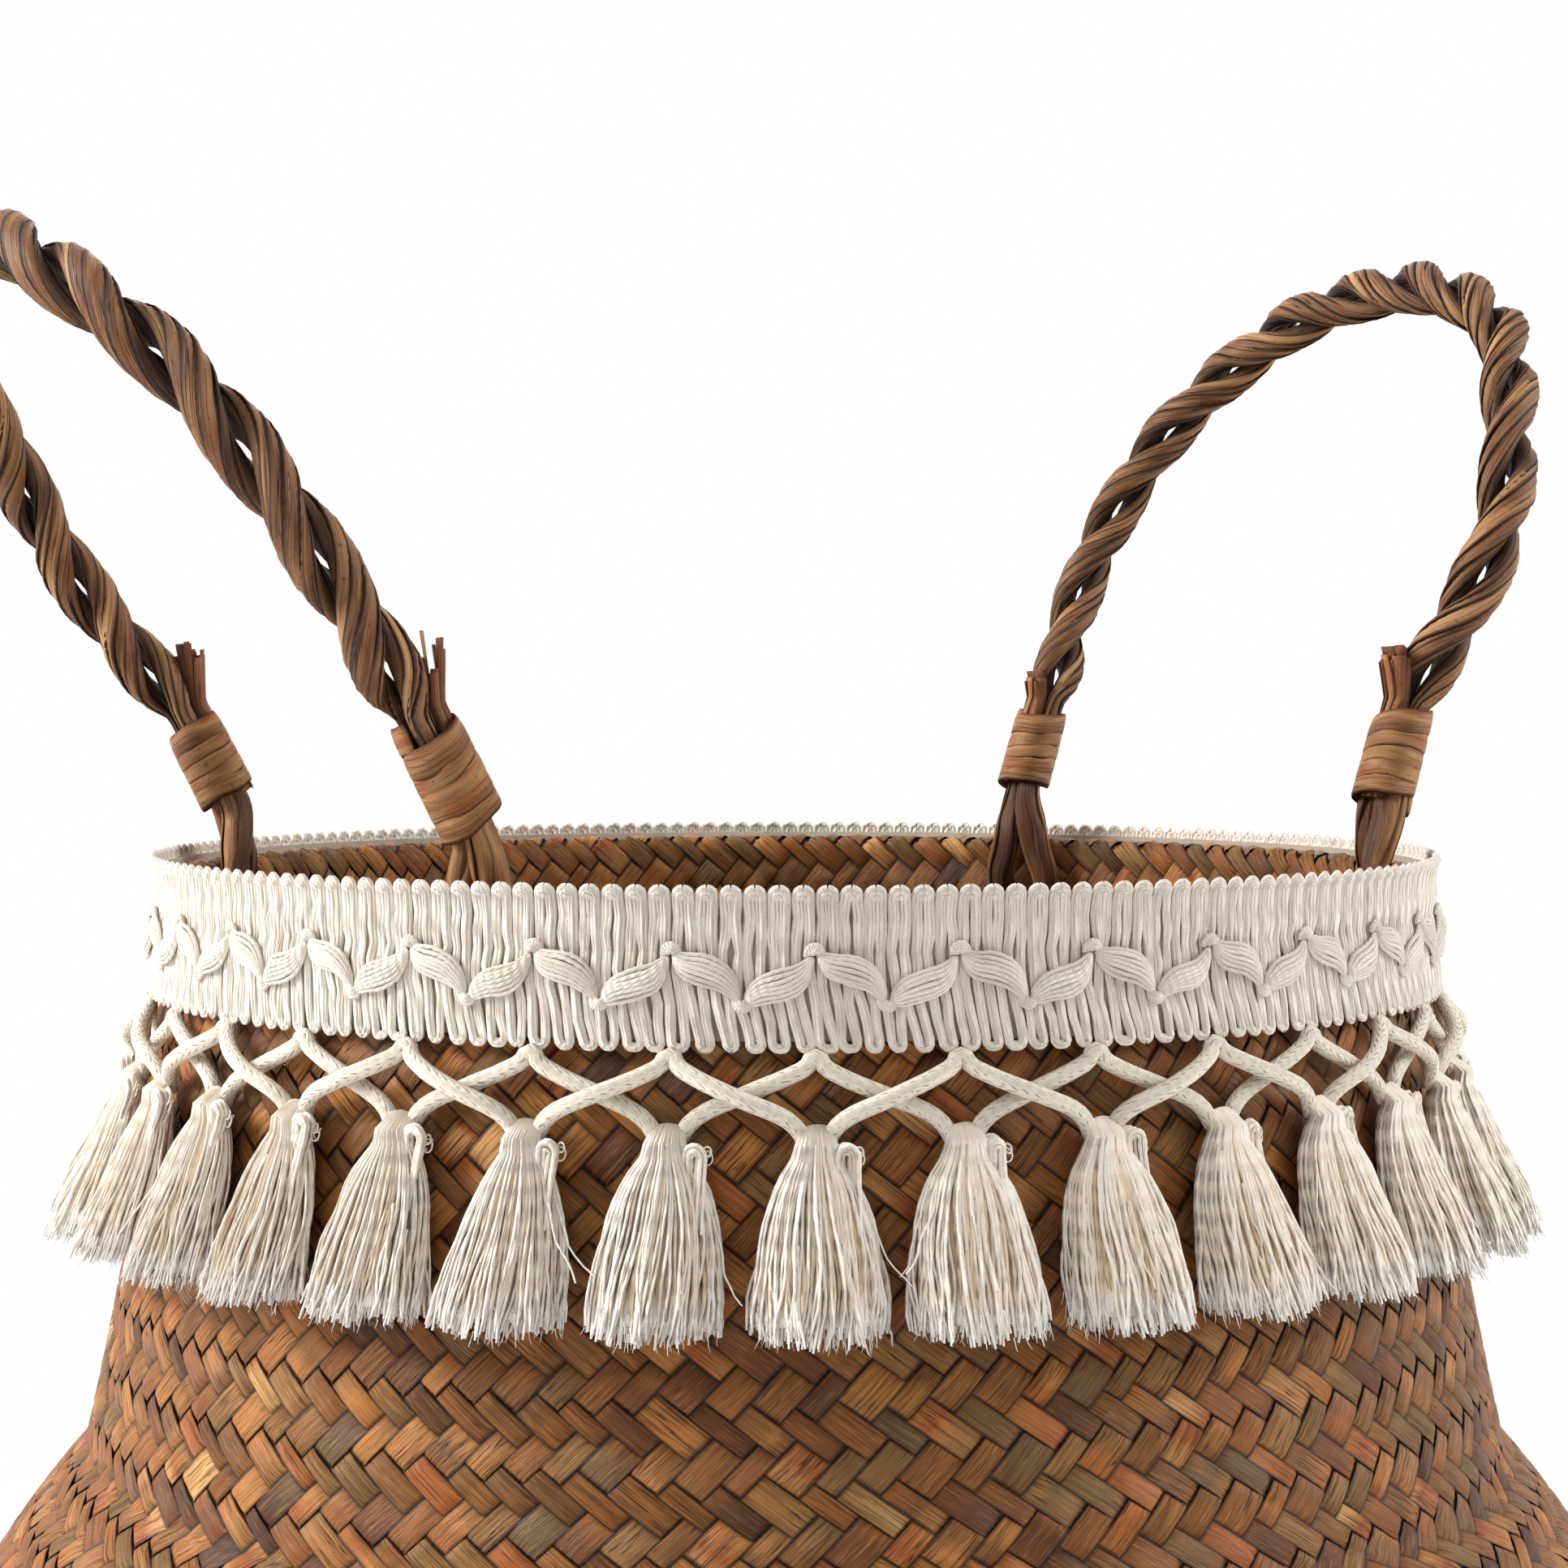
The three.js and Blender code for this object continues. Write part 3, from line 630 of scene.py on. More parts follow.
def trimTree():
    nodes, given = openTree("trim braid", loops=int, height=float, plyRadius=float, slant=float)
    plies = float(trim["plies"])
    height, loops = given["height"], given["loops"] * 1.0
    pitch = tau * trim["pathRadius"] * mm / loops
    bend, end = pitch * 0.25, trim["turnShare"]

    def path(loop, along):
        half = nodes.least(along, 1.0 - along)
        side = nodes.maths("SIGN", along - 0.5)
        over = nodes.ramp(half, 0.0, end, 0.0, math.pi / 2)
        under = nodes.ramp(half, 0.5 - end, 0.5, 0.0, math.pi / 2)
        leg = nodes.ramp(half, end, 0.5 - end)
        down = bend * (1.0 - over.cos()) + leg * (height - bend * 2.0) + bend * under.sin()
        aside = side * (bend * 2.0 - bend * over.sin() - bend * (1.0 - under.cos()))
        low = down / height
        wander = nodes.sway(loop * 2.7 + side * 0.4, low * 3.6, trim["seed"], detail=1.0) * trim["wander"]
        lean = (nodes.drift(loop * 0.09, 0.0, 3.0, detail=1.0) - 0.2) * 1.7
        aside = aside + nodes.ramp(low, trim["pinchDown"] - 0.1, 1.0) * given["slant"] * lean
        return aside + wander * nodes.spread(low, 0.0, 0.25) * mm, down, low

    def lay(number, along):
        loop, ply = grouped(number, plies)
        ply = ply - (plies - 1) / 2
        aside, down, low = path(loop, along)
        before, after = path(loop, along - 0.012), path(loop, along + 0.012)
        runX, runZ = after[0] - before[0], after[1] - before[1]
        size = (runX * runX + runZ * runZ) ** 0.5 + 1e-7
        pinch = nodes.most(*(nodes.fade((low - trim[row]).abs(), 0.0, trim["pinchWidth"])
                             for row in ("pinchUp", "pinchDown")))
        narrow = 1.0 - pinch * 0.3 - nodes.spread(low, trim["pinchUp"], trim["pinchUp"] + 0.1) * 0.14
        narrow = narrow - nodes.spread(low, 0.78, 0.9) * 0.14
        loose = nodes.sway(loop * 1.9 + ply * 0.6, low * 5.0, 2.0)
        offset = (ply * trim["plyStep"] * narrow + loose * 0.35 * nodes.spread(low, 0.03, 0.15)) * mm
        bulge = (nodes.spread(low, 0.0, 0.2) - pinch * 1.4) * 0.5 + nodes.fade(low, 0.0, 0.12) * 1.3
        proud = (trim["seat"] + bulge + (1.0 - ply.abs()) * 0.22 + loose * 0.3) * mm
        return onNeck(nodes, loop * pitch + aside + offset * runZ / size, down - offset * runX / size, proud)

    def thickness(number, along):
        top = nodes.spread((along - 0.5).abs(), 0.38, 0.46, 0.0, 0.5)
        return given["plyRadius"] * (0.9 + nodes.drift(number * 3.1, along * 5.0) * 0.24 + top)

    yarns = layYarns(nodes, lay, thickness, given["loops"] * plies, trim["steps"], trim["sides"])
    return closeTree(nodes, yarns, given)


def leafTree():
    nodes, given = openTree("leaf yarn", leaves=int, leafTop=float, leafDrop=float, knotTop=float,
                            knotDrop=float)
    plies, knotPlies = float(trim["leafPlies"]), float(trim["knotPlies"])
    length = tau * trim["pathRadius"] * mm / (given["leaves"] * 1.0)

    def lay(number, along):
        leaf, ply = grouped(number, plies)
        ply = ply - (plies - 1) / 2
        up = leaf % 2.0
        full = (along * math.pi).sin()
        wide = full ** 0.55
        odd = nodes.sway(leaf * 7.7, 0.0, trim["seed"])
        middle = along * 2.0 - 1.0
        later = nodes.ramp(along, 0.15, 1.05)
        fall = later * later * 0.75 + along * 0.25
        down = given["leafTop"] + given["leafDrop"] * (fall + up * (1.0 - fall * 2.0))
        flipped = along + up * (1.0 - along * 2.0)
        curve = nodes.spread(flipped, 0.62, 1.0) * 1.6 - nodes.fade(flipped, 0.0, 0.3) * 1.3
        sway = nodes.sway(leaf * 3.3, along * 2.2, ply * 0.3, detail=1.0) * trim["leafSway"] * full
        run = (nodes.spread(along, -0.12, 1.12) - 0.5) * 0.98 + 0.5
        turned = (up * 2.0 - 1.0) * 0.45
        spread = ply * trim["leafWidth"] * mm * wide * (1.0 + odd * 0.5)
        aside = (leaf + run) * length + spread * turned * (1.0 - middle.abs() * 0.5)
        proud = (trim["leafSeat"] + full ** 0.7 * 1.3 - ply * ply * 0.085 * wide) * mm
        return onNeck(nodes, aside, down + (curve * (1.0 - wide * 0.4) + sway) * mm + spread, proud)

    yarns = layYarns(nodes, lay, lambda number, along: trim["leafRadius"] * mm * (
        0.7 + 0.35 * (along * math.pi).sin()), given["leaves"] * plies, trim["leafSteps"], trim["leafSides"])

    def layKnot(number, along):
        knot, ply = grouped(number, knotPlies)
        lower = knot % 2.0
        angle = along * (math.pi * 1.16) - 0.08 * math.pi
        odd = nodes.sway(knot * 5.1, ply * 0.5, 8.0)
        aside = knot * length - angle.cos() * (0.45 + ply * 0.34) * mm + odd * 0.7 * mm
        down = given["knotTop"] + given["knotDrop"] * lower
        down = down + (lower * 2.0 - 1.0) * (angle.sin() * (0.35 + ply * 0.4) - 0.6 + odd * 0.4) * mm
        return onNeck(nodes, aside, down, (trim["leafSeat"] + 0.2 + angle.sin() * 0.45 - ply * 0.12) * mm)

    knots = layYarns(nodes, layKnot, lambda number, along: trim["knotRadius"] * mm,
                     given["leaves"] * knotPlies, trim["knotSteps"], trim["leafSides"])
    return closeTree(nodes, nodes.join(yarns, knots), given)


def cottonMaterial(name, light, lighter, shaded, twist):
    material, nodes = openLook(name)
    number, along, around = nodes.read("number", "along", "around")
    tone = nodes.drift(number * 3.7, along * 1.3, detail=1.0)
    fine = nodes.noise(nodes.place(), 2600.0, rough=0.7)
    base = nodes.mix(nodes.spread(tone, 0.3, 0.7), light, lighter)
    base = nodes.mix(nodes.spread(nodes.noise(nodes.place(), 140.0), 0.52, 0.72) * 0.35, base, shaded)
    base = nodes.mix(nodes.spread(fine, 0.3, 0.55, 0.3, 0.0), base, shaded)
    lines = ((around * twist[0] + along * twist[1]) * tau).sin()
    closeLook(nodes, base, 0.9, lines * 0.5 + fine * 0.5, strength=0.5, depth=0.4, shine=0.2, sheen=0.25)
    return material


def turnedRing(name, profile, segments, material):
    profile = np.array(profile) * mm
    angles = np.arange(segments) * 2 * math.pi / segments
    verts = [(r * math.cos(a), r * math.sin(a), z) for a in angles for r, z in profile]
    count = len(profile)
    faces = []
    for i in range(segments):
        j = (i + 1) % segments
        for k in range(count):
            n = (k + 1) % count
            faces.append((i * count + k, j * count + k, j * count + n, i * count + n))
    mesh = bpy.data.meshes.new(name)
    mesh.from_pydata(verts, [], faces)
    mesh.polygons.foreach_set("use_smooth", [True] * len(faces))
    mesh.materials.append(material)
    return addObject(name, mesh)


cream = (linear(224, 213, 198), linear(238, 229, 218), linear(198, 183, 163))
# Painted shade: the backing ring behind the loops gets a darker cream than the yarn, so the gaps between the
# loops, where it shows, read as shade
backingShade = (linear(150, 138, 120), linear(170, 158, 140), linear(120, 104, 86))
braid = grow(trimTree(), "trim_braid_loops", loops=trim["loops"],
             **metres(trim, "height", "plyRadius", "slant"),
             material=cottonMaterial("braid yarn", *cream, (2.0, 14.0)))
leaves = grow(leafTree(), "trim_leaf_yarn", leaves=trim["leaves"],
              **metres(trim, "leafTop", "leafDrop", "knotTop", "knotDrop"),
              material=cottonMaterial("leaf yarn", *cream, (2.0, 9.0)))
foot = body["rimHeight"] - trim["height"] + trim["backingFoot"]
bend, top = trim["backingBend"], trim["backingTop"]
backing = turnedRing("trim_backing", [
    (outerRadius(z) + trim["backingGap"] + thick * trim["backing"], z) for z, thick in (
        (foot, 0), (foot, 1), (bend, 1), (top, 1), (top, 0), (bend, 0))],
    trim["backingSides"], cottonMaterial("braid backing", *backingShade, (1.0, 1.0)))
for piece, node in ((braid, "trim_band"), (leaves, "trim_zigzag_yarn"), (backing, "trim_band")):
    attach(piece, "basket")
    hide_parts(node)
print("trim made,", len(braid.data.polygons), "and", len(leaves.data.polygons), "faces")


# Lattice cords: two closed zigzags, half a turn apart, the outer one lifted over the inner where they cross

cord = dict(tassels=34, diameter=3.0, drop=13.0, extraDrop=1.1, gap=0.35, belowTrim=0.9, stepOver=3.3,
            uneven=0.9, pointsPerLeg=16, sides=10,
            places=(0, 0.06, 0.14, 0.24, 0.5, 0.74, 0.86, 0.94, 1),
            runShares=(0, 0.035, 0.06, 0.15, 0.5, 0.8, 0.89, 0.92, 1),
            fallShares=(0, 0.03, 0.11, 0.2, 0.46, 0.7, 0.86, 0.97, 1))
cord["peak"] = body["rimHeight"] - trim["height"] - cord["gap"] - cord["belowTrim"]


def cordTree():
    nodes, given = openTree("lattice cord", tassels=int, shift=float, stepOver=float, diameter=float,
                            drop=float)
    perLeg = float(cord["pointsPerLeg"])
    ring = nodes.circle(given["tassels"] * perLeg)
    leg, step = grouped(nodes.index(), perLeg)
    rising, share = leg % 2.0, step / perLeg
    share = share + rising * (1.0 - share * 2.0)
    uneven = nodes.sway(leg * 3.9, given["shift"] * 7.0, share * 1.5)
    run, fall = (nodes.curve(share, cord["places"], cord[shares]) for shares in ("runShares", "fallShares"))
    aside = leg + run + rising * (1.0 - run * 2.0)
    high = (body["rimHeight"] - cord["peak"]) * mm
    lift = (share * math.pi).sin()
    down = high + given["drop"] * fall * cord["extraDrop"] + uneven * cord["uneven"] * mm * lift
    angle = (aside + given["shift"]) * tau / (given["tassels"] * 1.0)
    radius = neckRadius(nodes, down) + cord["gap"] * mm + given["diameter"] * 0.5
    radius = radius + given["stepOver"] * lift * lift
    length = nodes.add("GeometryNodeSplineParameter")["Length"]
    laid = nodes.store(nodes.moved(ring, nodes.polar(radius, angle, aboveBase(down))), along=length * 1000.0)
    return closeTree(nodes, sweep(nodes, laid, cord["sides"], given["diameter"] * 0.5), given)


def cordMaterial():
    material, nodes = openLook("knitted cord")
    along, around = nodes.read("along", "around")
    aside = ((around * 5.0).fraction() - 0.5).abs()
    stitch = ((along * 0.46 + aside * 2.1).fraction() - 0.5).abs()
    kept = nodes.spread(nodes.drift(along * 0.9, around * 9.0), 0.38, 0.55)
    # Painted shade: brown dashes in the dips between the knitted stitches, with a strength that varies along
    # the cord
    stitchGapShade = nodes.spread(stitch, 0.08, 0.2, kept, 0.0) * nodes.fade((aside - 0.25).abs(), 0.12, 0.19)
    fine = nodes.noise(nodes.place(), 2600.0, rough=0.7)
    base = nodes.mix(stitchGapShade * 0.75, linear(232, 223, 207), linear(136, 108, 78))
    base = nodes.mix(nodes.spread(fine, 0.3, 0.5, 0.35, 0.0), base, linear(198, 184, 162))
    relief = nodes.spread(stitch, 0.1, 0.45) * 0.35 - nodes.spread(aside, 0.4, 0.5) * 0.3 + fine * 0.7
    closeLook(nodes, base, 0.9, relief - stitchGapShade * 0.7, strength=0.5, depth=0.5, shine=0.2)
    return material


knit = cordMaterial()
latticeTree = cordTree()
for label, shift, over in (("outer", 0.0, cord["stepOver"]), ("inner", 1.0, 0.0)):
    piece = grow(latticeTree, f"knitted_cord_{label}", tassels=cord["tassels"], shift=shift,
                 stepOver=over * mm, **metres(cord, "diameter", "drop"), material=knit)
    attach(piece, "basket")
    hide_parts(f"lattice_cord_{label}")
print("cords made")


# Tassels: strands folded over the cord into a round head, with a smaller fold beside it, and cut square

tassel = dict(length=34.0, halfWidth=12.3, depth=15.5, hang=0.4, headRise=0.6, headOut=2.0, strands=205,
              steps=14, sides=3, strandRadius=0.38, goldenAngle=2.399963, locks=2.8, lockSwing=6.5,
              ownSwing=3.4, lean=2.2, wallGap=0.3, core=0.68, coreSides=40, coreSteps=14, knotAside=4.8,
              knotDown=3.2, knotOut=2.6, curlTurns=1.3, curlRadius=0.17, curlAside=2.1, curlOut=2.8,
              fuzz=dict(count=260, steps=3, sides=3, radius=0.13, thinning=0.08),
              stray=dict(count=2, steps=10, sides=4, radius=0.26, thinning=0.1),
              knot=dict(count=16, steps=20, sides=4, radius=0.52, thinning=0.2),
              curl=dict(count=2, steps=16, sides=4),
              places=(0, 0.05, 0.12, 0.2, 0.32, 0.5, 0.72, 1),
              slimShares=(0.2, 0.27, 0.3, 0.42, 0.6, 0.77, 0.92, 1),
              fullShares=(0.2, 0.27, 0.34, 0.55, 0.74, 0.84, 0.9, 0.94),
              deepShares=(0.2, 0.3, 0.36, 0.44, 0.55, 0.68, 0.86, 1))


# The seed and the numbers added to it, and the fixed numbers from 901 on, give every draw a value of its own

def tasselTree():
    nodes, given = openTree("tassel", strands=int, length=float, halfWidth=float, depth=float,
                            strandRadius=float, angle=float, seed=int)
    seed, length, depth = given["seed"], given["length"], given["depth"]
    top = (body["rimHeight"] - cord["peak"] + cord["drop"] - cord["diameter"] / 2 + tassel["hang"]) * mm
    full, lean = nodes.random(0.0, 0.9, 901, seed), nodes.random(-1.0, 1.0, 902, seed)

    def place(share, x, y, extraX=0.0, extraY=0.0, raised=0.0):
        slim, wide, deep = (nodes.curve(share, tassel["places"], tassel[shares])
                            for shares in ("slimShares", "fullShares", "deepShares"))
        down = top + length * share - raised
        aside = x * ((slim + (wide - slim) * full) * given["halfWidth"]) + extraX
        aside = aside + lean * tassel["lean"] * mm * share * share
        wall = neckRadius(nodes, down) + tassel["wallGap"] * mm
        seat = nodes.most(wall * wall - aside * aside, 0.0) ** 0.5
        seat = seat + nodes.spread(share, 0.02, 0.17, tassel["headOut"] * mm, 0.0)
        return nodes.xyz(seat + deep * depth * (y * 0.5 + 0.5) + extraY, aside, aboveBase(down))

    def lay(number, along):
        around = number * tassel["goldenAngle"]
        inward = nodes.random(0.0, 1.0, number, seed)
        reach = nodes.ramp(inward, 0.0, 1.0, 0.5, 1.0) ** 0.5
        short = nodes.random(0.0, 0.06, number, seed + 3)
        x, y = reach * around.cos(), reach * around.sin()
        fold = nodes.fade(along, 0.0, 0.09)
        share = along * (1.0 - short - x * x * 0.04)
        raised = (1.0 - x * x) * tassel["headRise"] * mm * nodes.fade(along, 0.0, 0.16)
        far = nodes.ramp(along, 0.12, 1.0)
        locks = tassel["locks"]
        clump = nodes.split(nodes.drift(around.cos() * locks, around.sin() * locks + along * 1.1, seed * 3.7,
                                        out="Color"))
        mine = nodes.split(nodes.drift(number * 5.73, along * 3.4 + number * 0.37, seed * 1.93, out="Color"))
        swing, own = tassel["lockSwing"] * mm, tassel["ownSwing"] * mm
        extraX = (clump["X"] - 0.5) * far * swing + (mine["X"] - 0.5) * far * own
        extraY = (clump["Y"] - 0.5) * far * swing * 0.6 + (mine["Y"] - 0.5) * far * own
        return place(share, x * 0.97, y * (1.0 - fold) * 0.95 - fold * 0.9, extraX,
                     nodes.most(extraY, -0.2 * mm), raised)

    def thickness(number, along):
        slim = 1.15 - nodes.spread(along, 0.1, 0.5) * 0.15 - nodes.spread(along, 0.85, 1.0) * 0.35
        return given["strandRadius"] * slim

    strands = layYarns(nodes, lay, thickness, given["strands"], tassel["steps"], tassel["sides"])
    # inner is highest for the strands laid nearest the middle, where the tassel look paints warm shade
    strands = nodes.store(strands, inner=1.0 - nodes.random(0.0, 1.0, *nodes.named("number"), seed))

    def layFuzz(number, along):
        around = nodes.random(0.0, 6.283, number, seed + 11)
        reach = nodes.random(0.0, 1.0, number, seed + 12) ** 0.5
        start = nodes.random(0.8, 0.96, number, seed + 13)
        swing = nodes.random(-1.0, 1.0, number, seed + 14)
        drop = nodes.random(0.03, 0.09, number, seed + 15)
        share = nodes.least(start + along * drop, 1.0 + drop * 0.2)
        extraX = (swing * along * along * 0.7 + around.cos() * along * 0.2) * mm
        extraY = (around.sin() * along * 0.5 + 0.3) * mm
        return place(share, reach * around.cos(), reach * around.sin(), extraX, extraY)

    fuzz = nodes.store(layYarns(nodes, layFuzz, taper(tassel["fuzz"]), **tassel["fuzz"]), along=1.0)

    def layStray(number, along):
        around = nodes.random(-1.4, 1.4, number, seed + 21)
        start = nodes.random(0.2, 0.55, number, seed + 22)
        reach = nodes.random(0.6, 3.4, number, seed + 23)
        curl = nodes.sway(number * 3.1, along * 2.2, seed * 2.3, detail=1.0)
        side = around.sin()
        extraX = (side * reach * along * along * 1.8 + curl * 6.0 * along) * mm
        return place(start + along * 0.4, side * 0.98, around.cos() * 0.9, extraX, reach * along * 0.6 * mm)

    strays = layYarns(nodes, layStray, taper(tassel["stray"]), **tassel["stray"])

    barrel = nodes.cylinder(tassel["coreSides"], tassel["coreSteps"])
    at = nodes.split(nodes.position())
    share = (0.5 - at["Z"]) * 0.8 + 0.1
    groove = nodes.sway(at["X"] * 5.0, at["Y"] * 5.0, share * 1.5 + seed * 1.0, detail=2.0)
    fill = nodes.spread(share, 0.1, 0.3, 0.35, tassel["core"]) + nodes.spread(share, 0.7, 0.95) * 0.1
    fill = fill * (1.0 + groove * 0.5 * nodes.spread(share, 0.15, 0.4))
    # Both are stored before the move, because a field read after it sees the new positions. inner is higher
    # in the recessed grooves, where the tassel look paints warm shade
    barrel = nodes.store(barrel, inner=0.75 - groove, along=share * 1.12)
    core = nodes.moved(barrel, place(share, at["X"] * fill, at["Y"] * fill))

    def beside(x, down, proud):
        out = neckRadius(nodes, top + down * mm) + proud * mm
        return nodes.xyz(out, x * mm, aboveBase(top) - down * mm)

    def layKnot(number, along):
        ply = nodes.random(0.0, 1.0, number, seed + 31)
        deep = nodes.random(0.0, 1.0, number, seed + 32)
        low = nodes.random(-1.0, 1.0, 903, seed) * 0.8
        turned = nodes.ramp(along, 0.2, 0.6, -0.1, math.pi * 1.1)
        before = nodes.ramp(along, 0.0, 0.22, 1.0, 0.0)
        below = nodes.ramp(along, 0.58, 1.0)
        half = 0.4 + ply * 1.5
        x = tassel["knotAside"] + low * 0.3 - turned.cos() * half - below * (0.6 - ply * 0.7)
        x = x + (deep - 0.5) * 0.6
        down = tassel["knotDown"] + low - turned.sin() * half * 1.15 + 0.6
        down = down + below * (7.0 + deep * 5.0) + before * 4.0
        return beside(x, down, tassel["knotOut"] + deep * 2.8 + turned.sin() * 0.5 + below * 2.4)

    knot = layYarns(nodes, layKnot, taper(tassel["knot"]), **tassel["knot"])

    def layCurl(number, along):
        turned = along * (tau * tassel["curlTurns"]) + number * 2.1
        size = 0.8 + number * 0.35
        x = tassel["knotAside"] + tassel["curlAside"] + turned.cos() * size * 0.8 + along * 0.4
        down = tassel["knotDown"] + 0.4 + number * 1.1 + turned.sin() * size
        return beside(x, down, tassel["curlOut"] + along * 1.2)

    curls = layYarns(nodes, layCurl, lambda number, along: tassel["curlRadius"] * mm, **tassel["curl"])
    made = nodes.join(strands, fuzz, strays, core, knot, curls)
    return closeTree(nodes, nodes.turned(made, 0.0, given["angle"]), given)


def tasselMaterial():
    material, nodes = openLook("tassel yarn")
    number, along, around, inner = nodes.read("number", "along", "around", "inner")
    tone = nodes.drift(number * 3.7, along * 1.6, detail=1.0)
    fine = nodes.noise(nodes.place(), 2800.0, rough=0.7)
    end = nodes.spread(along, 0.78, 0.97)
    base = nodes.mix(nodes.spread(tone, 0.3, 0.7), linear(234, 221, 202), linear(245, 237, 226))
    # Painted shade: strands laid deep in the bundle and the core's recessed grooves get a warm darker cream,
    # fading out towards the cut ends
    base = nodes.mix(nodes.spread(inner, 0.15, 0.85) * (1.0 - end) * 0.85, base, linear(230, 203, 164))
    base = nodes.mix(nodes.spread(fine, 0.3, 0.55, 0.25, 0.0), base, linear(212, 196, 170))
    base = nodes.mix(end * 0.85, base, linear(246, 241, 234))
    # Painted shade: dark specks only on the core's bottom cap, where along passes 1, for the shade between
    # the cut ends
    capGapShade = nodes.spread(nodes.noise(nodes.place(), 1200.0, 0.0), 0.4, 0.58, 0.85, 0.1)
    base = nodes.mix(nodes.spread(along, 1.001, 1.006) * capGapShade, base, linear(160, 145, 122))
    lines = ((around + along * 9.0) * tau).sin()
    closeLook(nodes, base, 0.9, lines * 0.4 + fine * 0.8, strength=0.5, depth=0.4, shine=0.2, sheen=0.25)
    return material


tasselYarn = tasselMaterial()
fringeTree = tasselTree()
for k in range(cord["tassels"]):
    piece = grow(fringeTree, f"tassel_yarns_{k + 1:02d}", strands=tassel["strands"],
                 **metres(tassel, "length", "halfWidth", "depth", "strandRadius"),
                 angle=2 * math.pi * k / cord["tassels"], seed=k * 17 + 5, material=tasselYarn)
    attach(piece, f"tassel_{k + 1:02d}")
    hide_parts(f"tassel_{k + 1:02d}")
print("tassels made,", len(piece.data.polygons), "faces each")


# Handles: blades of seagrass laid along a path, which a table gives with its section

handle = dict(footRadius=122, footSpread=138, pivotRise=8, archHeight=130, archSpread=152, archBow=16.5,
              leanRight=17.5, leanLeft=27.5, turns=6.5, swell=9.5, boundOffset=2.35, offset=3.3,
              boundHalf=2.2, halfWide=3.9, halfThick=2.95, hiddenEnd=5, bindingRise=2.8, bindingHeight=21.5,
              bindingRadius=5.9, bindingTurns=5.3, bindingDrop=1.3, bindingSteps=190, stripWidth=5.5,
              stripThickness=0.7, turnLength=34.0, tailReach=13, tailLean=5, tailSwell=1.1, tailWide=1.4,
              tailThick=1.1, tailPoints=40, boundCentre=1.357, boundTail=2.714, bladeSides=8, pathStep=1.0)
handle["footX"] = math.sqrt(handle["footRadius"] ** 2 - (handle["footSpread"] / 2) ** 2)
handle["bindingTop"] = handle["bindingRise"] + handle["bindingHeight"]
archShares = [(1, 0.31, 0.47), (0.868, 0.5, 0.708), (0.645, 0.81, 0.877), (0.335, 0.92, 0.971), (0, 1, 1)]

# Each foot is two legs that part at the rim and meet at the lowest point of a loop in the hem. The shares are
# of the drop below the rim, of half the spread, and of the way in to the hem's middle
leg = dict(drop=21, spread=12, halfWide=3.1, halfThick=1.9, full=3.6, narrow=0.68, widening=0.52, even=12,
           radius=121.15, hemMiddle=125.6, clearDown=1.4, gap=2.3, top=6.0, topIn=1.5, nextIn=0.7,
           nextGap=1.1, pathStep=0.8)
legShares = [(0.19, 0.67, 0), (0.5, 1, 0), (0.8, 1, 0.5), (0.97, 0.72, 1)]


# A smooth curve through the points, in even steps, with the length so far at each

def smoothPath(points, step, perPiece=60):
    points = np.array(points, float)
    ends = np.vstack([2 * points[0] - points[1], points, 2 * points[-1] - points[-2]])
    gaps = np.sqrt(np.linalg.norm(np.diff(ends, axis=0), axis=1))
    t = np.linspace(0, 1, perPiece, endpoint=False)[:, None]
    made = []
    for i in range(len(points) - 1):
        a, b, c, d = ends[i:i + 4]
        before, here, after = gaps[i:i + 3]
        start = ((b - a) / before - (c - a) / (before + here) + (c - b) / here) * here
        end = ((c - b) / here - (d - b) / (here + after) + (d - c) / after) * here
        made.append((2 * t ** 3 - 3 * t ** 2 + 1) * b + (t ** 3 - 2 * t ** 2 + t) * start
                    + (3 * t ** 2 - 2 * t ** 3) * c + (t ** 3 - t ** 2) * end)
    made = np.vstack(made + [points[-1:]])
    along = np.concatenate([[0], np.cumsum(np.linalg.norm(np.diff(made, axis=0), axis=1))])
    even = np.linspace(0, along[-1], int(along[-1] / step) + 1)
    return np.stack([np.interp(even, along, made[:, k]) for k in range(3)], 1), even


def unit(vectors):
    return vectors / np.linalg.norm(vectors, axis=1)[:, None]


def eased(share):
    return share * share * (3 - 2 * share)


def ropePath():
    half, top = handle["footSpread"] / 2, handle["bindingTop"]

    def foot(side, *rises):
        return [(0, side * half, rise) for rise in rises]

    def arch(side, shares):
        return [(bow * handle["archBow"], side * aside * handle["archSpread"] / 2, up * handle["archHeight"])
                for aside, bow, up in shares]

    return smoothPath([*foot(-1, 0, top / 2, top), *arch(-1, archShares), *arch(1, archShares[-2::-1]),
                       *foot(1, top, top / 2, 0)], handle["pathStep"])


# A strand winds round the rope's middle. It is slim and straight in the binding and swells above it

def strandTable(turn):
    centre, along = ropePath()
    way = unit(np.gradient(centre, axis=0))
    facing = np.array([1.0, 0, 0])
    out = unit(facing - way * (way @ facing)[:, None])
    across = np.cross(way, out)
    up = np.cross(way, across)
    length, top = along[-1], handle["bindingTop"]
    full = eased(np.clip((np.minimum(along, length - along) - top) / handle["swell"], 0, 1))
    angle = np.clip((along - top) / (length - 2 * top), 0, 1) * handle["turns"] * 2 * math.pi + turn
    away = across * np.cos(angle)[:, None] + up * np.sin(angle)[:, None]
    offset, wide, thick = (handle[bound] + (handle[free] - handle[bound]) * full for bound, free in (
        ("boundOffset", "offset"), ("boundHalf", "halfWide"), ("boundHalf", "halfThick")))
    hidden = slice(handle["hiddenEnd"], -handle["hiddenEnd"])
    return addTable("strand path", (centre + away * offset[:, None])[hidden] * mm, away[hidden],
                    wide=wide[hidden], thick=thick[hidden])


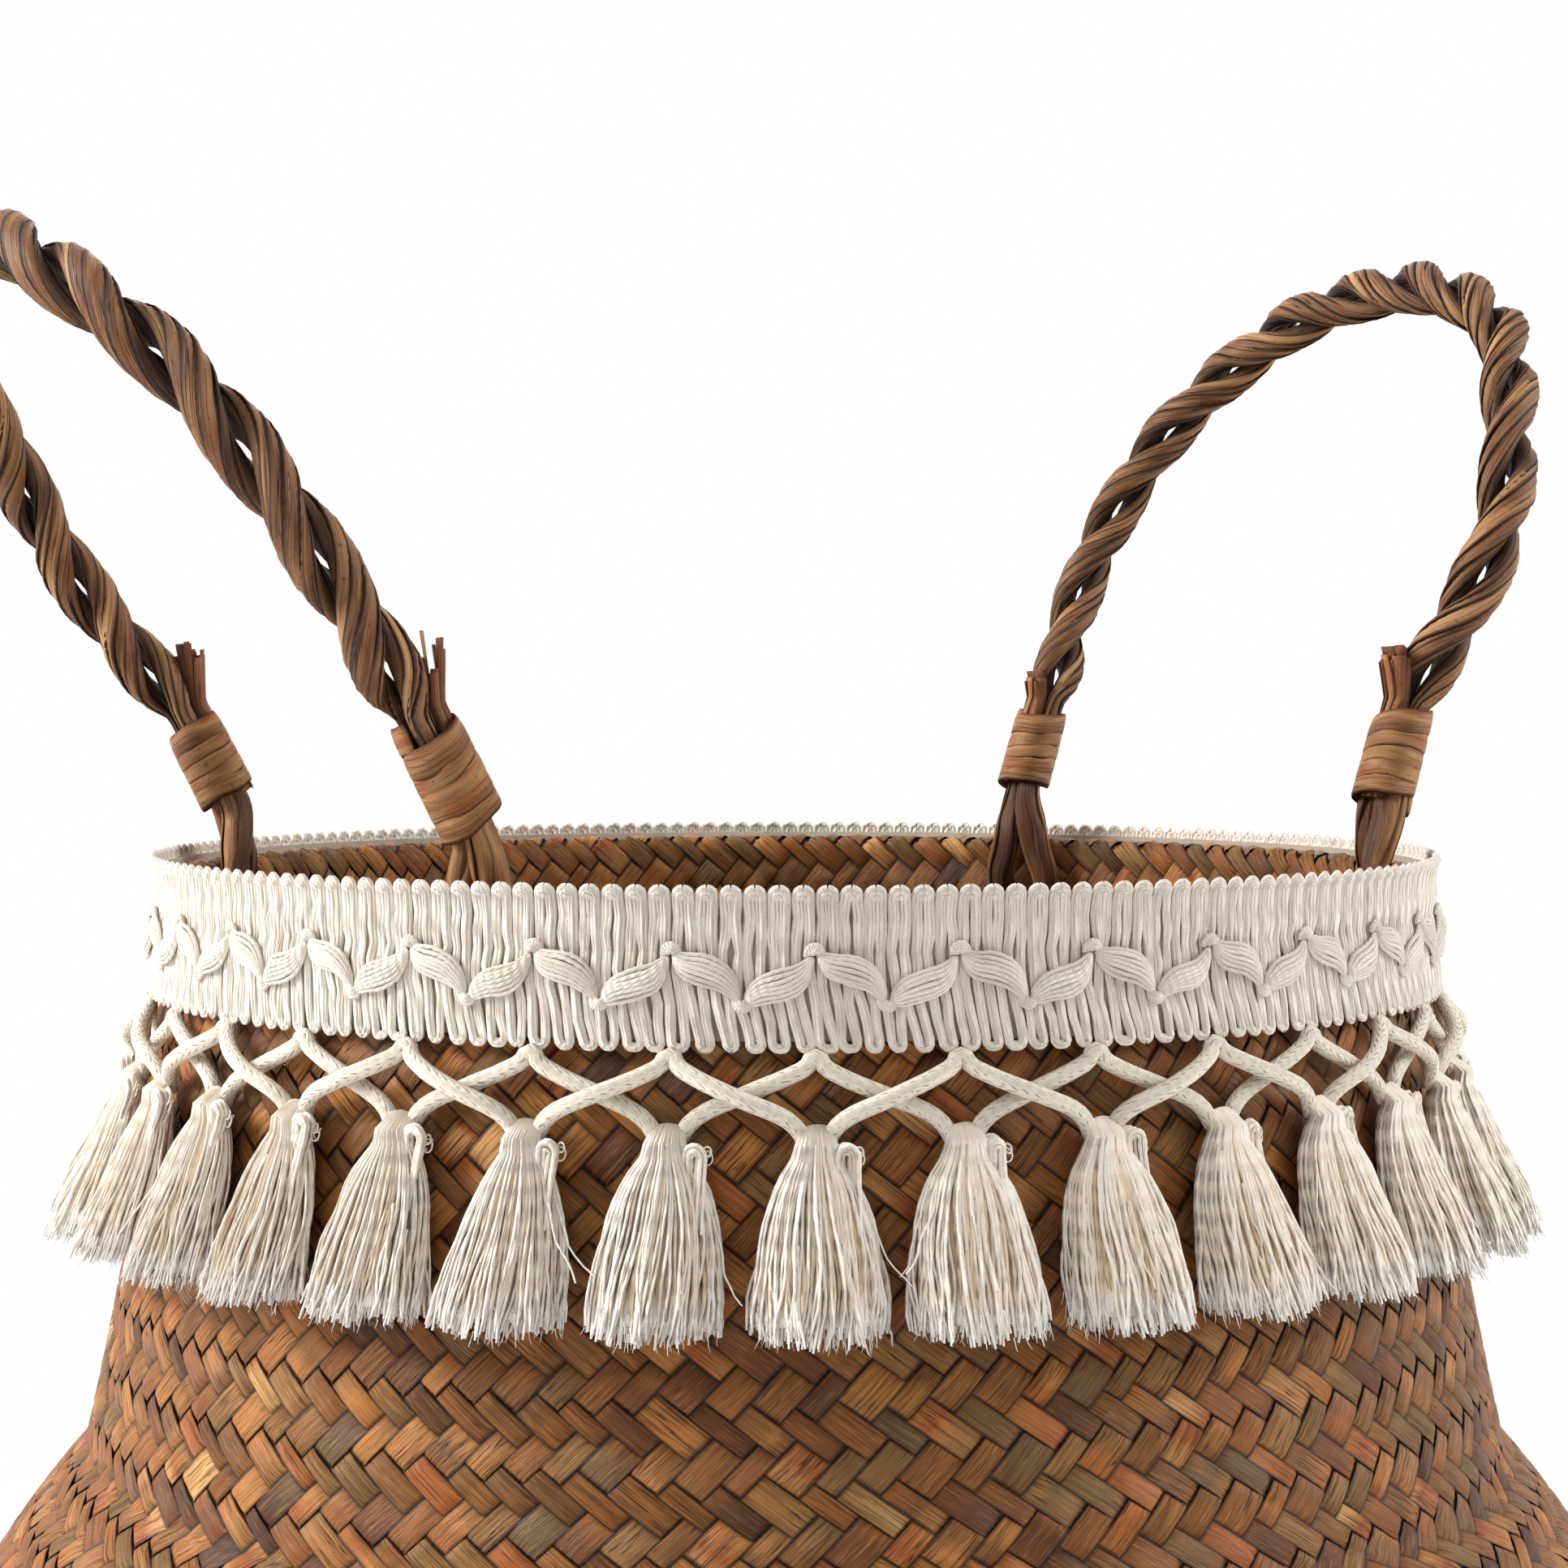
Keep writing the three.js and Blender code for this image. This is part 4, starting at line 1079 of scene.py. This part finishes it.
def tailTable(side, reach):
    count = handle["tailPoints"]
    rise = np.linspace(0, handle["bindingHeight"] + reach, count)
    above = np.clip((rise - handle["bindingHeight"]) / handle["tailReach"], 0, 1)
    x = -handle["boundCentre"] - handle["boundTail"] - handle["tailLean"] * above
    centre = np.stack([x, np.full(count, side * handle["footSpread"] / 2), handle["bindingRise"] + rise], 1)
    half = handle["boundHalf"] + above * handle["tailSwell"]
    return addTable("tail path", centre * mm, np.tile([-1.0, 0, 0], (count, 1)),
                    wide=half * handle["tailWide"], thick=half * handle["tailThick"])


def legTable(side, lean):
    angle = math.atan2(side * handle["footSpread"] / 2, handle["footX"])
    out = np.array([math.cos(angle), math.sin(angle), 0])
    across = np.array([-math.sin(angle), math.cos(angle), 0])

    def at(down, aside, inwards):
        clear = (leg["full"] - leg["halfThick"]) * max(0.0, 1.0 - down * leg["clearDown"])
        radius = leg["radius"] - clear + (leg["hemMiddle"] - leg["radius"]) * inwards
        place = out * radius + across * aside * leg["spread"] / 2
        return place[0], place[1], body["rimHeight"] - down * leg["drop"]

    def half(way):
        top = body["rimHeight"] + handle["pivotRise"] + leg["top"]
        x, y = handle["footX"], side * handle["footSpread"] / 2
        return [(x + math.tan(lean) * leg["top"] - leg["topIn"], y + way * leg["gap"], top),
                (x - leg["nextIn"], y + way * leg["gap"] * leg["nextGap"], top - leg["top"]),
                *(at(down, way * aside, inwards) for down, aside, inwards in legShares)]

    centre, along = smoothPath([*half(-1), at(1, 0, 1), *half(1)[::-1]], leg["pathStep"])
    fromEnd = np.minimum(along, along[-1] - along)
    wide = leg["halfWide"] * (leg["narrow"] + leg["widening"] * np.clip(fromEnd / leg["even"], 0, 1))
    slim = eased(np.clip((fromEnd - leg["even"]) / leg["even"], 0, 1))
    return addTable("leg path", centre * mm, np.tile(out, (len(centre), 1)), wide=wide,
                    thick=leg["full"] + (leg["halfThick"] - leg["full"]) * slim)


def layBlades(nodes, count, steps):
    at = nodes.split(nodes.position())
    template = nodes.store(nodes.cylinder(handle["bladeSides"], steps), along=at["Z"] + 0.5, across=at["X"],
                           raised=at["Y"])
    return nodes.copies(template, count), *nodes.named("number", "along", "across", "raised")


def onHandle(nodes, given, geometry):
    turn, out = given["turn"], given["footX"]
    return nodes.turned(geometry, given["lean"], turn, nodes.polar(out, turn, given["footZ"]))


placing = dict(lean=float, turn=float, footX=float, footZ=float, seed=float)


def bladeTree():
    nodes, given = openTree("seagrass blades", blades=int, innerBlades=int, steps=int, points=float,
                            halfWidth=float, twist=float, ragged=float, path=bpy.types.Object, **placing)
    seed, outer = given["seed"], given["blades"] * 1.0
    laid, number, along, across, raised = layBlades(nodes, outer + given["innerBlades"], given["steps"])
    table = nodes.add("GeometryNodeObjectInfo", {"Object": given["path"]}, out="Geometry")
    own = nodes.random(0.0, 1.0, number, 3)
    shortened = along * (1.0 - given["ragged"] * own)
    at = shortened * (given["points"] - 1.0)
    here = nodes.position()
    centre = lookUp(nodes, table, here, at)
    way = nodes.vector("SUBTRACT", lookUp(nodes, table, here, at + 1.5), lookUp(nodes, table, here, at - 1.5))
    side = nodes.crossed(way, lookUp(nodes, table, *nodes.named("outward", kind="FLOAT_VECTOR"), at))
    out = nodes.crossed(side, way)
    wide, thick = (lookUp(nodes, table, value, at, "FLOAT") for value in nodes.named("wide", "thick"))

    inner = nodes.maths("GREATER_THAN", number, outer - 0.5)
    drift = nodes.sway(number * 3.7 + seed, at * 0.045, detail=1.0)
    loose = nodes.sway(number * 5.1, at * 0.06, seed + 4.0, detail=1.0)
    half = given["halfWidth"] * (0.72 + own * 0.5 + loose * 0.5)
    angle = number * tau / outer + given["twist"] * shortened + drift * 1.3
    angle = angle + across * half / ((wide + thick) * 0.43)
    share = 0.86 - inner * 0.45 + across * 0.12 + loose * 0.22 + raised * (0.075 + inner * 0.2)
    share = share + (across * across - 0.4) * nodes.spread(drift, -0.2, 0.2, -0.12, 0.05)
    offset = nodes.vector("ADD", nodes.scaled(out, angle.cos() * share * thick),
                          nodes.scaled(side, angle.sin() * share * wide))
    laid = nodes.moved(laid, nodes.vector("ADD", centre, offset))
    depth = nodes.vector("DOT_PRODUCT", nodes.vector("NORMALIZE", offset), out, out="Value")
    laid = nodes.store(laid, depth=depth, length=at)
    return closeTree(nodes, onHandle(nodes, given, laid), given)


def windTree():
    nodes, given = openTree("wound strip", turns=float, height=float, stripWidth=float, stripThickness=float,
                            radius=float, axisX=float, axisY=float, low=float, **placing)
    laid, _, along, across, raised = layBlades(nodes, 1, handle["bindingSteps"])
    width, seed = given["stripWidth"], given["seed"]
    turn = along * given["turns"]
    angle = turn * tau + seed
    ring = nodes.polar(0.8, angle, along * 3.2 + seed * 3.0)
    slip = nodes.noise(ring, 1.0, 0.0) - 0.5
    puff = nodes.noise(ring, 1.7, 1.0) - 0.5
    level = (turn.floor() + nodes.spread(turn.fraction(), 0.35, 0.75)) / given["turns"]
    tilt = nodes.sway(turn * 0.9, seed * 3.0, 4.0) * 3.4 * mm + nodes.spread(along, 0.82, 0.96) * 1.6 * mm
    rise = nodes.least(level * 0.75 + along * 0.25, 1.0)
    height = given["low"] + rise * (given["height"] - width) + width * 0.5
    height = height + across * width * (0.5 + puff * 0.16) + slip * 0.8 * mm
    height = height + tilt * (angle * 0.9 - 0.6).sin()
    corner = (angle * 3.0).cos() * 0.22 * mm
    ends = nodes.spread((along - 0.5).abs(), 0.485, 0.5) * 0.6 * mm
    radius = given["radius"] + corner - across * 0.2 * mm + puff * 0.35 * mm - ends - along * 0.2 * mm
    radius = radius + raised * given["stripThickness"] * 0.5
    place = nodes.xyz(given["axisX"] + radius * angle.cos(), given["axisY"] + radius * angle.sin(), height)
    laid = nodes.store(nodes.moved(laid, place), depth=1.0,
                       length=along * given["turns"] * handle["turnLength"])
    return closeTree(nodes, onHandle(nodes, given, laid), given)


# edge sets how dark the painted shade along each blade's edges is; lined scales the grain and cracks
def bladeMaterial(name, colours, dark, light, edge, lined=1.0):
    material, nodes = openLook(name)
    number, length, across, depth = nodes.read("number", "length", "across", "depth")
    blade = nodes.sway(number * 5.3)
    patch = nodes.sway(number * 4.1, length * 0.035, across * 0.4, detail=2.0)
    grain = nodes.drift(number * 9.1, across * 4.5, length * 0.07, detail=3.0, rough=0.7)
    fine = nodes.drift(number * 3.3, across * 15.0, length * 0.13, detail=2.0, rough=0.6)
    base = nodes.stops(blade * 1.3 + patch * 1.8 + 0.5, colours)
    base = nodes.mix(nodes.spread(grain, 0.3, 0.6, 0.55 * lined, 0.0), base, dark)
    base = nodes.mix(nodes.spread(fine, 0.5, 0.7, 0.0, 0.35), base, light)
    vein = nodes.sway(number * 7.7, across * 2.6, length * 0.02, detail=1.0)
    crack = nodes.spread(vein.abs(), 0.004, 0.02, 0.8 * lined, 0.0)
    # Painted shade: each blade goes darker towards its edges, where it meets the next blade
    rim = nodes.spread(across.abs(), 0.62, 0.95, 0.0, edge)
    # Painted shade: a blade goes darker the more it lies on the inward side of its bundle, as where the
    # rope's two strands press together; the wound strip stores depth 1 and gets none
    inside = nodes.spread(depth, -0.7, 0.35, 0.8, 0.0)
    # The cracks are the blades' own; the edge and inward darkening mixed in with them is painted shade
    base = nodes.mix(nodes.most(rim, crack, inside), base, dark)
    spots = nodes.spread(nodes.noise(nodes.place(), 900.0, 1.0), 0.68, 0.76, 0.0, 0.5)
    base = nodes.mix(spots, base, dark)
    rough = 0.42 + nodes.spread(fine, 0.3, 0.7) * 0.22 + nodes.most(rim, crack) * 0.3
    closeLook(nodes, base, rough, grain * 0.6 + fine * 0.5 - crack, strength=0.6, depth=0.6, shine=0.25)
    return material


ropeBlades = dict(blades=7, innerBlades=3, steps=190, halfWidth=2.5 * mm, twist=3.2, ragged=0.0)
footBlades = dict(blades=7, innerBlades=3, steps=60, halfWidth=2.1 * mm, twist=1.2, ragged=0.0)
frayed = dict(blades=15, innerBlades=9, steps=24, halfWidth=0.85 * mm, twist=0.9, ragged=0.36)
broad = dict(blades=10, innerBlades=6, steps=24, halfWidth=1.7 * mm, twist=0.5, ragged=0.12)
cutEnds = {"handle_left_front": (frayed, 13), "handle_left_back": (broad, 13),
           "handle_right_front": (broad, 11), "handle_right_back": (broad, 7)}


def growBlades(name, path, blades, material, seed, held):
    made = grow(bladesTree, name, **blades, points=float(len(path.data.vertices)), path=path, seed=seed,
                material=material, **held)
    bpy.data.objects.remove(path)
    return made


def setHandle(name, turn, lean):
    held = dict(lean=math.radians(lean), turn=turn, footX=handle["footX"] * mm,
                footZ=(body["rimHeight"] + handle["pivotRise"]) * mm)
    still = dict(lean=0.0, turn=turn, footX=0.0, footZ=0.0)
    made = []
    for k in (0, 1):
        made.append(growBlades(f"{name}_blades_{k + 1}", strandTable(k * math.pi), ropeBlades, ropeLook,
                               lean + k * 7.7, held))
        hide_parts(f"{name}_strand_{k + 1}")
    for side in (-1, 1):
        end = "front" if side * math.cos(turn) < 0 else "back"
        made.append(grow(windingTree, f"{name}_wound_strip_{end}", turns=handle["bindingTurns"],
                         height=handle["bindingHeight"] * mm, radius=handle["bindingRadius"] * mm,
                         **metres(handle, "stripWidth", "stripThickness"), axisX=-handle["boundCentre"] * mm,
                         axisY=side * handle["footSpread"] / 2 * mm,
                         low=(handle["bindingRise"] - handle["bindingDrop"]) * mm, seed=lean * 0.37 + side,
                         material=stripLook, **held))
        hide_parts(f"{name}_binding_{end}")
        blades, reach = cutEnds[f"{name}_{end}"]
        made.append(growBlades(f"{name}_cut_blades_{end}", tailTable(side, reach), blades, tailLook,
                               lean + side * 3.1, held))
        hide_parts(f"{name}_tail_{end}")
        legs = growBlades(f"{name}_foot_blades_{end}", legTable(side, math.radians(lean)), footBlades,
                          stripLook, lean + side * 5.3, still)
        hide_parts(f"{name}_foot_loop_{end}")
        at = Vector((handle["footX"] * mm, side * handle["footSpread"] / 2 * mm, 0.0))
        at.rotate(Euler((0, 0, turn)))
        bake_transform(legs)
    for piece in made:
        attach(piece, name)


bladesTree, windingTree = bladeTree(), windTree()
ropeLook = bladeMaterial("rope blades", [
    (0.0, 66, 37, 22), (0.25, 106, 66, 38), (0.42, 146, 102, 63), (0.58, 112, 66, 38), (0.75, 168, 120, 76),
    (1.0, 196, 152, 104)], linear(24, 12, 8), linear(192, 150, 104), 0.92)
tailLook = bladeMaterial("tail blades", [
    (0.0, 80, 42, 24), (0.4, 130, 74, 40), (0.7, 158, 96, 54), (1.0, 186, 132, 82)],
    linear(40, 21, 12), linear(196, 146, 98), 0.6)
stripLook = bladeMaterial("binding strip", [
    (0.0, 88, 50, 26), (0.3, 130, 83, 46), (0.48, 164, 119, 74), (0.66, 140, 79, 37), (1.0, 186, 140, 91)],
    linear(54, 29, 15), linear(192, 149, 100), 0.7, 0.5)
setHandle("handle_right", 0.0, handle["leanRight"])
setHandle("handle_left", math.pi, handle["leanLeft"])
print("handles made")


# Base mat: straight strips in two ways, over two and under two, out to the ring where the wall's strips begin

mat = dict(radius=101, pitch=5.2, stripWidth=4.7, across=4, rows=130, lift=0.4, crown=0.2, uneven=1.2,
           middle=1.5, crossings=40.0)


def matTree():
    nodes, given = openTree("base mat", strips=int, radius=float, pitch=float, way=float, lift=float,
                            middle=float)
    strips, number, row, across = layStrips(nodes, given["strips"], mat["across"], mat["rows"])
    strips = nodes.store(strips, along=row / (mat["rows"] - 1.0), across=across, number=number)
    number, along, across = nodes.named("number", "along", "across")
    way, pitch, radius = given["way"], given["pitch"], given["radius"]
    centre = (given["strips"] * 1.0 - 1.0) * 0.5
    aside = (number - centre) * pitch
    aside = aside + nodes.sway(number * 3.1, along * 2.0, way * 9.0) * mat["uneven"] * mm
    reach = nodes.most(radius * radius - aside * aside, 0.0) ** 0.5
    run = (along * 2.0 - 1.0) * reach
    cell = run / pitch + centre
    phase = ((cell - number * (way * 2.0 - 1.0)) * (math.pi / 2) + math.pi * 0.25).cos()
    over = nodes.spread(phase, -0.5, 0.5, -1.0, 1.0) * (way * 2.0 - 1.0)
    place = aside + across * mat["stripWidth"] * 0.5 * mm
    height = given["middle"] + over * given["lift"] + (1.0 - across * across) * over * mat["crown"] * mm
    flat = nodes.xyz(place * way + run * (1.0 - way), run * way + place * (1.0 - way), height)
    # No over is stored here, so the seagrass look's painted crossing shade darkens the whole mat
    laid = nodes.store(nodes.moved(strips, flat), family=way, along=along * mat["crossings"])
    return closeTree(nodes, laid, given)


baseTree = matTree()
for way in (0, 1):
    piece = grow(baseTree, f"base_mat_{way + 1}", strips=int(2 * mat["radius"] / mat["pitch"]),
                 way=float(way), **metres(mat, "radius", "pitch", "lift", "middle"), material=seagrass)
    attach(piece, "basket")
    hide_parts("woven_body")
print("base mat made")
